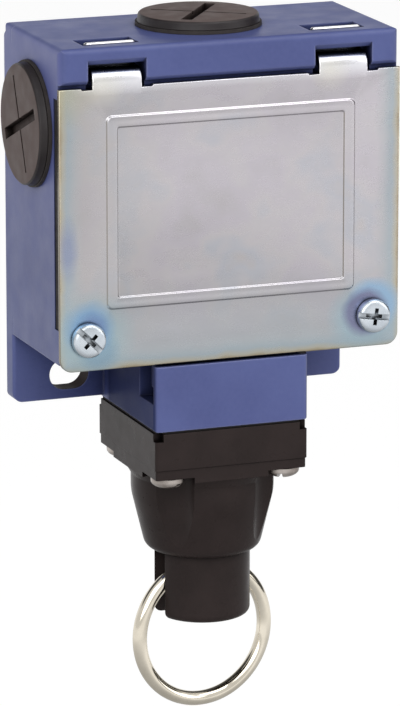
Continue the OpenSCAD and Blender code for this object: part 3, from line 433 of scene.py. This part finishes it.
def finish_piece(name, bm, materials, body, slot, *nodes, angle=34.0):
    """Turns a mesh in millimetres into a finished piece that rides on a body."""
    bmesh.ops.recalc_face_normals(bm, faces=bm.faces)
    for face in bm.faces:
        face.smooth = True
    for edge in bm.edges:
        if len(edge.link_faces) == 2:
            edge.smooth = edge.calc_face_angle(0.0) < math.radians(angle)
    bm.transform(Matrix.Scale(MM, 4))
    mesh = bpy.data.meshes.new(name)
    bm.to_mesh(mesh)
    bm.free()
    for material in materials:
        mesh.materials.append(material)
    obj = bpy.data.objects.new(name, mesh)
    bpy.context.scene.collection.objects.link(obj)
    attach(obj, body)
    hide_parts(*nodes)


def loop_of(bm, points):
    """New vertices at the points."""
    return [bm.verts.new(p) for p in points]


def circle(radius, steps):
    """Points round a circle, anticlockwise from its first axis."""
    angles = [2 * math.pi * i / steps for i in range(steps)]
    return [(radius * math.cos(a), radius * math.sin(a)) for a in angles]


def skin(bm, a, b):
    """Quads between two closed loops of as many points."""
    n = len(a)
    for i in range(n):
        j = (i + 1) % n
        bm.faces.new((a[i], a[j], b[j], b[i]))


def lathe(bm, profile, steps):
    """Turns a profile of (radius, height) round Z; a radius of 0 closes it."""
    loops = [loop_of(bm, [(x, y, h) for x, y in circle(r, steps if r else 1)]) for r, h in profile]
    for a, b in zip(loops, loops[1:]):
        if len(a) == 1 or len(b) == 1:
            tip, ring = (a[0], b) if len(a) == 1 else (b[0], a)
            for i in range(steps):
                bm.faces.new((tip, ring[i], ring[(i + 1) % steps]))
        else:
            skin(bm, a, b)


def rounded(profile, n):
    """A profile given as (r, h) or (r, h, radius), with its marked corners rounded in n steps."""
    out = []
    for i, p in enumerate(profile):
        if len(p) == 2:
            out.append(p)
            continue
        here = Vector(p[:2])
        back = (Vector(profile[i - 1][:2]) - here).normalized() * p[2]
        on = (Vector(profile[i + 1][:2]) - here).normalized() * p[2]
        for k in range(n + 1):
            t = k / n
            q = (1 - t) ** 2 * (here + back) + 2 * t * (1 - t) * here + t ** 2 * (here + on)
            out.append((q.x, q.y))
    return out


def box_cutter(low, high, turn):
    """A box between two corners, turned round Z by a number of degrees."""
    bm = bmesh.new()
    place = Matrix.Rotation(math.radians(turn), 4, "Z")
    for v in bmesh.ops.create_cube(bm, size=1.0)["verts"]:
        v.co = place @ Vector([low[k] + (v.co[k] + 0.5) * (high[k] - low[k]) for k in range(3)])
    return bm


def add_to(whole, bm):
    """Moves the mesh bm into whole."""
    temp = bpy.data.meshes.new("temp")
    bm.to_mesh(temp)
    bm.free()
    whole.from_mesh(temp)
    bpy.data.meshes.remove(temp)


def carve(bm, cutters):
    """Cuts each cutter mesh out of bm, in millimetres, and returns the result."""
    def to_object(mesh_bm, name):
        """An object that holds the mesh while it is cut."""
        bmesh.ops.recalc_face_normals(mesh_bm, faces=mesh_bm.faces)
        mesh = bpy.data.meshes.new(name)
        mesh_bm.to_mesh(mesh)
        mesh_bm.free()
        obj = bpy.data.objects.new(name, mesh)
        bpy.context.scene.collection.objects.link(obj)
        return obj
    target = to_object(bm, "carve_target")
    tools = [to_object(c, f"carve_tool_{i}") for i, c in enumerate(cutters)]
    for tool in tools:
        cut = target.modifiers.new("cut", "BOOLEAN")
        cut.operation = "DIFFERENCE"
        cut.solver = "EXACT"
        cut.object = tool
    bpy.context.view_layer.update()
    done = target.evaluated_get(bpy.context.evaluated_depsgraph_get())
    result = bmesh.new()
    result.from_mesh(done.to_mesh())
    done.to_mesh_clear()
    for obj in [target] + tools:
        mesh = obj.data
        bpy.data.objects.remove(obj)
        bpy.data.meshes.remove(mesh)
    return result


# ---- the cover ----

def sheet_outline():
    """The cover's outline in X and Z, anticlockwise from its lower left corner."""
    pts = []
    for cx, cz, start in ((-SHEET_HALF + SHEET_CORNER, SHEET_LOW + SHEET_CORNER, 180),
                          (SHEET_HALF - SHEET_CORNER, SHEET_LOW + SHEET_CORNER, 270)):
        for k in range(13):
            a = math.radians(start + 90 * k / 12)
            pts.append((cx + SHEET_CORNER * math.cos(a), cz + SHEET_CORNER * math.sin(a)))
    pts.append((SHEET_HALF, SHEET_TOP))
    for x in (TAB_X, -TAB_X):
        pts += [(x + TAB_HALF + RELIEF_W, SHEET_TOP), (x + TAB_HALF + RELIEF_W - 0.3, SHEET_TOP - RELIEF_H),
                (x + TAB_HALF, SHEET_TOP - RELIEF_H), (x + TAB_HALF, SHEET_TOP + 0.6),
                (x - TAB_HALF, SHEET_TOP + 0.6), (x - TAB_HALF, SHEET_TOP - RELIEF_H),
                (x - TAB_HALF - RELIEF_W + 0.3, SHEET_TOP - RELIEF_H), (x - TAB_HALF - RELIEF_W, SHEET_TOP)]
    pts.append((-SHEET_HALF, SHEET_TOP))
    return pts


def inset_outline(pts, d):
    """The outline moved inwards by d, corner by corner."""
    out = []
    n = len(pts)
    for i in range(n):
        p, q, r = (Vector(pts[(i + k - 1) % n]) for k in range(3))
        a = (q - p).normalized()
        b = (r - q).normalized()
        na = Vector((-a.y, a.x))
        nb = Vector((-b.y, b.x))
        m = (na + nb)
        m /= max(0.4, m.dot(na))
        out.append((q.x + m.x * d, q.y + m.y * d))
    return out


def frame_loop(inset, corner, n=8):
    """A rounded rectangle inside the pressed frame's outer line, in X and Z."""
    lx, lz = FRAME_LOW[0] + inset, FRAME_LOW[1] + inset
    hx, hz = FRAME_HIGH[0] - inset, FRAME_HIGH[1] - inset
    pts = []
    for cx, cz, start in ((lx + corner, lz + corner, 180), (hx - corner, lz + corner, 270),
                          (hx - corner, hz - corner, 0), (lx + corner, hz - corner, 90)):
        for k in range(n + 1):
            a = math.radians(start + 90 * k / n)
            pts.append((cx + corner * math.cos(a), cz + corner * math.sin(a)))
    return pts


def frame_steps(back):
    """Inset, rise and corner radius of each loop across the frame: up, over a crown and steeply down."""
    near = FRAME_NEAR if back else 0.0
    width = FRAME_BAND - 2 * near
    steps = []
    for k in range(41):
        t = k / 40
        climb = min(1.0, t * width / FRAME_SLOPE_OUT, (1 - t) * width / FRAME_SLOPE_IN)
        smooth = climb * climb * (3 - 2 * climb)
        crown = 0.62 + 0.38 * math.sin(math.pi * t)
        steps.append((near + t * width, FRAME_RISE * smooth * crown, 1.3 - 0.9 * t))
    return steps


def sheet_face(bm, outline, y, back):
    """One face of the sheet: the flat, the pressed frame and the field inside it."""
    rim = loop_of(bm, [(x, y, z) for x, z in outline])
    edges = [bm.edges.new((rim[i], rim[(i + 1) % len(rim)])) for i in range(len(rim))]
    holes = []
    for side in (-1, 1):
        hole = loop_of(bm, [(side * SCREW_X + dx, y, SCREW_Z + dz) for dx, dz in circle(SCREW_HOLE_R, 32)])
        holes.append(hole)
        edges += [bm.edges.new((hole[i], hole[(i + 1) % 32])) for i in range(32)]
    loops = [loop_of(bm, [(x, y - rise, z) for x, z in frame_loop(inset, corner)])
             for inset, rise, corner in frame_steps(back)]
    first = loops[0]
    edges += [bm.edges.new((first[i], first[(i + 1) % len(first)])) for i in range(len(first))]
    bmesh.ops.triangle_fill(bm, use_beauty=True, edges=edges)
    for a, b in zip(loops, loops[1:]):
        skin(bm, a, b)
    bm.faces.new(loops[-1])
    return rim, holes


def tab_path():
    """The middle line of a hinge tab in Y and Z: up from the sheet, back under the bar and up behind it."""
    mid_y = SHEET_FRONT + SHEET_T / 2
    by, bz, br = TAB_BEND
    hy, hz, hr = TAB_HOOK
    path = [(mid_y, SHEET_TOP - 1.6), (mid_y, SHEET_TOP - 0.3)]
    path += [(by - br * math.cos(a), bz + br * math.sin(a))
             for a in (math.pi / 2 * k / 12 for k in range(13))]
    path += [(hy + hr * math.sin(a), hz - hr * math.cos(a))
             for a in (math.pi / 2 * k / 10 for k in range(11))]
    return path + [(hy + hr, COVER_HIGH.z - 0.25), (hy + hr, COVER_HIGH.z)]


def tab_section(shrink=0.0):
    """A rounded rectangle across the tab, as width and thickness."""
    corner = 0.28
    half_w, half_t = TAB_HALF - shrink, SHEET_T / 2 - shrink
    section = []
    for cx, ct, start in ((half_w - corner, half_t - corner, 0), (corner - half_w, half_t - corner, 90),
                          (corner - half_w, corner - half_t, 180), (half_w - corner, corner - half_t, 270)):
        for k in range(4):
            a = math.radians(start + 30 * k)
            section.append((cx + corner * math.cos(a), ct + corner * math.sin(a)))
    return section


def cover_tab(bm, x):
    """Sweeps the section along the tab's middle line; it stands a hundredth proud of the sheet."""
    path = tab_path()
    loops = []
    for i, (y, z) in enumerate(path):
        a = Vector(path[max(i - 1, 0)])
        b = Vector(path[min(i + 1, len(path) - 1)])
        t = (b - a).normalized()
        section = tab_section(0.22 if i == len(path) - 1 else 0.0)
        loops.append(loop_of(bm, [(x + sx, y - t.y * st * 1.01, z + t.x * st * 1.01) for sx, st in section]))
    for a, b in zip(loops, loops[1:]):
        skin(bm, a, b)
    bm.faces.new(loops[0])
    bm.faces.new(loops[-1])


def cover_sheet(material):
    """The pressed cover, with rounded sheared edges."""
    bm = bmesh.new()
    outline = sheet_outline()
    # inset and depth of the loops round a sheared edge, a third of a quarter turn apart
    arc = ((0.5, 0.134), (0.134, 0.5), (0.0, 1.0))
    edge = [(SHEARED_EDGE * inset, SHEARED_EDGE * deep) for inset, deep in arc]
    front, front_holes = sheet_face(bm, inset_outline(outline, SHEARED_EDGE), SHEET_FRONT, False)
    back, back_holes = sheet_face(bm, inset_outline(outline, SHEARED_EDGE), SHEET_BACK, True)
    rings = [front]
    for inset, deep in edge:
        rings.append(loop_of(bm, [(x, SHEET_FRONT + deep, z) for x, z in inset_outline(outline, inset)]))
    for inset, deep in reversed(edge):
        rings.append(loop_of(bm, [(x, SHEET_BACK - deep, z) for x, z in inset_outline(outline, inset)]))
    rings.append(back)
    for a, b in zip(rings, rings[1:]):
        skin(bm, a, b)
    for a, b in zip(front_holes, back_holes):
        skin(bm, a, b)
    for x in (-TAB_X, TAB_X):
        cover_tab(bm, x)
    finish_piece("cover_sheet", bm, [material], "cover", "cover_zinc", "cover_plate", angle=40)


def recess_cutters(radius, height, turn):
    """Cutters for a full slot and a deeper cross recess in a head that points up Z."""
    halves = ((radius + 1, 0.6, 1.0), (0.40, 1.75, 1.9), (1.75, 0.36, 1.9))
    return [box_cutter((-x, -y, height - deep), (x, y, height + 1), turn) for x, y, deep in halves]


def cover_screws(material):
    """Pan heads with a slot and a cross recess; the shanks carry thread ridges."""
    head, core, crest, length = 2.2, 1.6, 1.95, 7.2
    whole = bmesh.new()
    for side, turn in ((-1, -45), (1, -8)):
        profile = [(0, head), (1.4, 2.19), (2.4, 2.14), (2.9, 2.05), (3.2, 1.88), (3.38, 1.6), (3.45, 1.2),
                   (3.46, 0.15), (3.36, 0.0), (core, 0.0), (core, -1.2)]
        z = -1.2
        while z > -6.6:
            profile += [(crest, z - 0.18), (crest, z - 0.26), (core, z - 0.45), (core, z - 0.52)]
            z -= 0.7
        profile += [(core, 0.3 - length), (1.3, -length), (0, -length)]
        bm = bmesh.new()
        lathe(bm, profile, 64)
        bm = carve(bm, recess_cutters(3.5, head, turn))
        bm.transform(Matrix.Translation((side * SCREW_X, SHEET_FRONT, SCREW_Z))
                     @ Matrix.Rotation(math.radians(90), 4, "X"))
        add_to(whole, bm)
    finish_piece("cover_screw_pair", whole, [material], "cover", "screw_zinc", "cover_screws")


def head_screws(material):
    """The four slotted screws under the head, with domed heads that point down."""
    low, high = box_mm("head_screws")
    radius, drop, rim, shank = 3.4, 2.5, 0.9, 1.95
    seat = low.z + drop
    foot = seat - high.z
    dome = [(radius * math.sin(math.radians(a)), rim + (drop - rim) * math.cos(math.radians(a)))
            for a in (12, 24, 36, 48, 60, 70, 80, 90)]
    profile = [(0, drop)] + dome + [(radius, 0.2), (radius - 0.15, 0.0), (shank, 0.0), (shank, foot + 0.3),
                                    (shank - 0.3, foot), (0, foot)]
    whole = bmesh.new()
    for x, y, turn in ((low.x + radius, low.y + radius, 66), (low.x + radius, high.y - radius, 10),
                       (high.x - radius, low.y + radius, -58), (high.x - radius, high.y - radius, 80)):
        bm = bmesh.new()
        lathe(bm, profile, 64)
        bm = carve(bm, [box_cutter((-radius - 1, -0.55, drop - 1.35), (radius + 1, 0.55, drop + 1), turn)])
        bm.transform(Matrix.Translation((x, y, seat)) @ Matrix.Rotation(math.pi, 4, "X"))
        add_to(whole, bm)
    finish_piece("head_screw_set", whole, [material], "root", "screw_zinc", "head_screws")


# ---- plugs ----

def plug_mesh(turn):
    """A blanking plug on z = 0 that points up: a disc with a wide slot and a fine line across it."""
    top, seat, skirt, bore = PLUG_TOP, PLUG_SEAT, 9.4, 7.5
    profile = rounded([(0, top), (PLUG_R - 0.45, top, 0.12), (PLUG_R - 0.1, top - 0.35, 0.12),
                       (PLUG_R, seat + 0.42), (PLUG_R + 0.12, seat + 0.2, 0.1), (PLUG_R + 0.12, seat),
                       (skirt, seat), (skirt, 0.2), (skirt, PLUG_FLOOR + 0.4), (skirt - 0.4, PLUG_FLOOR),
                       (bore, PLUG_FLOOR), (bore, -1.0), (0, -1.0)], 4)
    bm = bmesh.new()
    lathe(bm, profile, 128)
    bm = carve(bm, [box_cutter((-PLUG_SLOT, -1.15, top - 1.6), (PLUG_SLOT, 1.15, top + 1.5), turn),
                    box_cutter((-0.3, -PLUG_MARK, top - 0.7), (0.3, PLUG_MARK, top + 1.5), turn)])
    for face in bm.faces:
        middle = face.calc_center_median()
        if math.hypot(middle.x, middle.y) > PLUG_R - 0.42:
            face.material_index = 1
    return bm


def plugs(materials):
    """The two plugs on their washers; the second material is for their rims."""
    low, high = TOP_WASHER
    top = plug_mesh(55)
    top.transform(Matrix.Translation(((low.x + high.x) / 2, (low.y + high.y) / 2, low.z)))
    finish_piece("plug_top", top, materials, "root", "plug_plastic", "top_plug")
    low, high = SIDE_WASHER
    side = plug_mesh(-68)
    side.transform(Matrix.Translation((high.x, (low.y + high.y) / 2, (low.z + high.z) / 2))
                   @ Matrix.Rotation(math.radians(-90), 4, "Y"))
    finish_piece("plug_side", side, materials, "root", "plug_plastic", "side_plug")


# ---- ring ----

def pull_ring(material):
    """The closed ring of round wire."""
    bm = bmesh.new()
    turn = Matrix.Translation((RING_LOW + RING_HIGH) / 2) @ Matrix.Rotation(math.radians(RING_YAW), 4, "Z")
    wire = circle(RING_WIRE, 40)
    loops = [loop_of(bm, [turn @ Vector(((RING_R + out) * cos, across, (RING_R + out) * sin))
                          for out, across in wire])
             for cos, sin in circle(1.0, 240)]
    for a, b in zip(loops, loops[1:] + loops[:1]):
        skin(bm, a, b)
    finish_piece("ring_wire", bm, [material], "ring", "ring_nickel", "pull_ring")


# ---- return spring ----

def return_spring(material):
    """A copy of the CAD coil, with its own material, in place of the CAD node."""
    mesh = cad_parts["return_spring"].data.copy()
    mesh.materials.clear()
    mesh.materials.append(material)
    obj = bpy.data.objects.new("return_coil", mesh)
    bpy.context.scene.collection.objects.link(obj)
    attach(obj, "root")
    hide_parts("return_spring")
    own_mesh(obj)


# ---- stage ----

def arithmetic(tree, operation, a, b):
    """One step of arithmetic on sockets or numbers."""
    n = tree.nodes.new("ShaderNodeMath")
    n.operation = operation
    for value, socket in zip((a, b), n.inputs):
        if isinstance(value, bpy.types.NodeSocket):
            tree.links.new(value, socket)
        else:
            socket.default_value = value
    return n.outputs[0]


def map_range(tree, value, low, high, start, end):
    """The value, carried from the range low to high into the range start to end, and held to it."""
    n = tree.nodes.new("ShaderNodeMapRange")
    for key, level in zip(("From Min", "From Max", "To Min", "To Max"), (low, high, start, end)):
        n.inputs[key].default_value = level
    tree.links.new(value, n.inputs["Value"])
    return n.outputs[0]


def split_by_ray(tree, out, path, lit, seen):
    """Lights the object with the first shader, and shows the second to the camera, mirrors and glass."""
    shown = arithmetic(tree, "MAXIMUM", path.outputs["Is Camera Ray"], path.outputs["Is Glossy Ray"])
    shown = arithmetic(tree, "MAXIMUM", shown, path.outputs["Is Transmission Ray"])
    mix = tree.nodes.new("ShaderNodeMixShader")
    tree.links.new(shown, mix.inputs[0])
    tree.links.new(lit, mix.inputs[1])
    tree.links.new(seen, mix.inputs[2])
    tree.links.new(mix.outputs[0], out.inputs[0])


def floor_material():
    """A pale floor that the camera and reflections see as white, and that still takes a shadow."""
    mat = bpy.data.materials.new("studio_floor")
    mat.use_nodes = True
    tree = mat.node_tree
    tree.nodes.clear()
    out = tree.nodes.new("ShaderNodeOutputMaterial")
    plain = tree.nodes.new("ShaderNodeBsdfDiffuse")
    plain.inputs[0].default_value = (0.7, 0.7, 0.7, 1)
    pale = tree.nodes.new("ShaderNodeBsdfDiffuse")
    pale.inputs[0].default_value = (0.22, 0.22, 0.22, 1)
    path = tree.nodes.new("ShaderNodeLightPath")
    # the glow falls off under the object for reflections, as the floor there is in shadow
    away = tree.nodes.new("ShaderNodeVectorMath")
    away.operation = "LENGTH"
    tree.links.new(tree.nodes.new("ShaderNodeTexCoord").outputs["Object"], away.inputs[0])
    fade = map_range(tree, away.outputs["Value"], 0.15, 0.6, 0.62, 0.0)
    dim = arithmetic(tree, "MULTIPLY", fade, path.outputs["Is Glossy Ray"])
    glow = tree.nodes.new("ShaderNodeEmission")
    tree.links.new(arithmetic(tree, "SUBTRACT", 0.86, dim), glow.inputs["Strength"])
    seen = tree.nodes.new("ShaderNodeAddShader")
    tree.links.new(pale.outputs[0], seen.inputs[0])
    tree.links.new(glow.outputs[0], seen.inputs[1])
    split_by_ray(tree, out, path, plain.outputs[0], seen.outputs[0])
    return mat


def studio_floor():
    """A floor that curves up into a low backdrop far behind the object."""
    bm = bmesh.new()
    profile = [(-4.0, FLOOR_Z), (2.4, FLOOR_Z), (2.8, FLOOR_Z + 0.06), (3.1, 0.05), (3.2, 0.4), (3.2, 1.1)]
    lines = [loop_of(bm, [(x, y, z) for x in (-4.0, 4.0)]) for y, z in profile]
    for a, b in zip(lines, lines[1:]):
        bm.faces.new((a[0], a[1], b[1], b[0]))
    mesh = bpy.data.meshes.new("floor")
    bm.to_mesh(mesh)
    bm.free()
    mesh.materials.append(floor_material())
    obj = bpy.data.objects.new("floor", mesh)
    bpy.context.scene.collection.objects.link(obj)


def world_light(strength, shade):
    """Even light all round; reflections see a white room, dark on the right and above the backdrop."""
    world = bpy.data.worlds.new("studio")
    bpy.context.scene.world = world
    world.use_nodes = True
    tree = world.node_tree
    tree.nodes.clear()
    out = tree.nodes.new("ShaderNodeOutputWorld")
    lit = tree.nodes.new("ShaderNodeBackground")
    lit.inputs[1].default_value = strength
    seen = tree.nodes.new("ShaderNodeBackground")
    path = tree.nodes.new("ShaderNodeLightPath")
    facing = tree.nodes.new("ShaderNodeSeparateXYZ")
    tree.links.new(tree.nodes.new("ShaderNodeTexCoord").outputs["Generated"], facing.inputs[0])
    ceiling = arithmetic(tree, "MULTIPLY", map_range(tree, facing.outputs[1], 0.15, 0.35, 0.0, 1.0),
                         map_range(tree, facing.outputs[2], 0.30, 0.40, 0.0, 1.0))
    wall = arithmetic(tree, "MULTIPLY", map_range(tree, facing.outputs[0], 0.62, 0.75, 0.0, 1.0),
                      map_range(tree, facing.outputs[2], 0.60, 0.45, 0.0, 1.0))
    dark = arithmetic(tree, "MAXIMUM", ceiling, wall)
    dark = arithmetic(tree, "MULTIPLY", dark, path.outputs["Is Glossy Ray"])
    tree.links.new(map_range(tree, dark, 0.0, 1.0, 1.0, 1.0 - shade), seen.inputs[1])
    split_by_ray(tree, out, path, lit.outputs[0], seen.outputs[0])


def soft_box(name, place, size, watts):
    """A rectangular lamp that faces the origin."""
    light = bpy.data.lights.new(name, "AREA")
    light.shape = "RECTANGLE"
    light.size, light.size_y = size
    light.energy = watts
    obj = bpy.data.objects.new(name, light)
    obj.location = place
    obj.rotation_euler = (-Vector(place)).to_track_quat("-Z", "Y").to_euler()
    bpy.context.scene.collection.objects.link(obj)


def camera():
    """The photo's view, fitted to the corners of the cover and the frame on it."""
    yaw, pitch, distance = math.radians(20.68), math.radians(13.77), 1.07
    target = Vector((-0.0010, -0.0195, 0.0058))
    away = Vector((-math.sin(yaw) * math.cos(pitch), -math.cos(yaw) * math.cos(pitch), math.sin(pitch)))
    cam = bpy.data.cameras.new("camera")
    cam.sensor_width = 36.0
    cam.lens = 268.5
    cam.clip_start = 0.05
    obj = bpy.data.objects.new("camera", cam)
    obj.location = target + away * distance
    obj.rotation_euler = (-away).to_track_quat("-Z", "Y").to_euler()
    bpy.context.scene.collection.objects.link(obj)
    bpy.context.scene.camera = obj


def dress_cad_nodes(looks):
    """Gives every CAD node that stays its material."""
    for node, material in looks.items():
        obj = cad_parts[node]
        obj.data.materials.clear()
        obj.data.materials.append(material)


def main():
    """Dresses the CAD nodes, adds the finer pieces and lights the stage."""
    bpy.context.scene.view_settings.view_transform = "Standard"
    paint = paint_material()
    sheet = sheet_material()
    zinc = metal_material("zinc_screw", (196, 204, 212), (212, 219, 226), 0.28, recess=(1.3, 0.10))
    # painted shade: the head screws' zinc is warmer than the cover screws' and darkened for the flange's shade
    shade_dulled = metal_material("zinc_in_painted_shade", (128, 118, 112), (186, 178, 172), 0.30, recess=(2.5, 0.25))
    steel = metal_material("steel_turned", (168, 168, 168), (186, 186, 184), 0.32, stretch=(1, 1, 6))
    spring = metal_material("spring_steel", (120, 120, 122), (140, 140, 140), 0.35)
    bronze = metal_material("bronze_bush", (150, 112, 62), (176, 134, 78), 0.36)
    brass = metal_material("contact_metal", (186, 128, 92), (204, 150, 108), 0.33)
    nickel = metal_material("ring_nickel_plate", (216, 208, 192), (228, 220, 204), 0.09, 0.8, 0.0008, 0.0)
    plug = plastic_material("plug_brown", (92, 80, 77), (100, 87, 84), 0.55, 0.20)
    # painted shade: the plugs' rims take a darker, coarser-grained copy of the plug plastic, for the shade on
    # their sides
    plug_rim = plastic_material("plug_rim_dark", (38, 33, 34), (50, 45, 46), 0.40, 0.30, 0.5, 0.03)
    head = plastic_material("head_black", (46, 39, 38), (52, 44, 43), 0.30, 0.08)
    black = plastic_material("black_moulding", (26, 26, 28), (34, 34, 36), 0.45, 0.35)
    block = plastic_material("block_grey", (54, 56, 60), (64, 66, 70), 0.5)
    red = plastic_material("block_red", (122, 40, 34), (134, 48, 40), 0.45)
    ivory = plastic_material("ivory_moulding", (212, 204, 182), (222, 216, 196), 0.45)
    nylon = plastic_material("nylon_white", (216, 216, 210), (226, 226, 222), 0.5)
    rubber = rubber_material("seal_black", (30, 27, 26), (40, 36, 34))
    washer = rubber_material("washer_dark", (52, 47, 45), (60, 55, 52))

    dress_cad_nodes({
        "body_casting": paint, "wall_plate": paint, "neck_casting": paint, "side_entries": paint,
        "cover_gasket": rubber, "screw_retainers": nylon, "top_plug_washer": washer,
        "side_plug_washer": washer, "head_gasket": rubber, "head_housing": head, "head_screws": shade_dulled,
        "guide_bush": bronze, "rod_seal": rubber, "spring_seat": steel, "return_spring": spring,
        "spring_collar": steel, "collar_clip": spring,
        "pull_rod": steel, "push_cap": black, "swivel_eye": steel, "eye_clip": spring,
        "block_housing": block, "block_front": red, "block_screws": zinc, "block_washers": steel,
        "contact_plunger": ivory, "opening_bridge": brass, "closing_bridge": brass, "opening_spring": spring,
        "closing_spring": spring, "plunger_spring": spring, "upper_contacts": brass, "lower_contacts": brass,
        "terminal_clamps": steel, "terminal_screws": zinc, "earth_screw": zinc, "earth_washer": steel,
        "cover_plate": sheet, "cover_screws": zinc, "top_plug": plug, "side_plug": plug, "pull_ring": nickel,
    })
    cover_sheet(sheet)
    cover_screws(zinc)
    head_screws(shade_dulled)
    plugs([plug, plug_rim])
    pull_ring(nickel)
    return_spring(spring)

    studio_floor()
    world_light(0.5, 0.9)
    soft_box("key", (-1.0, -1.5, 1.0), (1.8, 1.8), 18.0)
    soft_box("fill", (1.4, -1.0, 0.5), (1.0, 1.0), 6.0)
    soft_box("top", (0.45, -0.65, 1.25), (0.9, 0.9), 6.0)
    camera()


main()
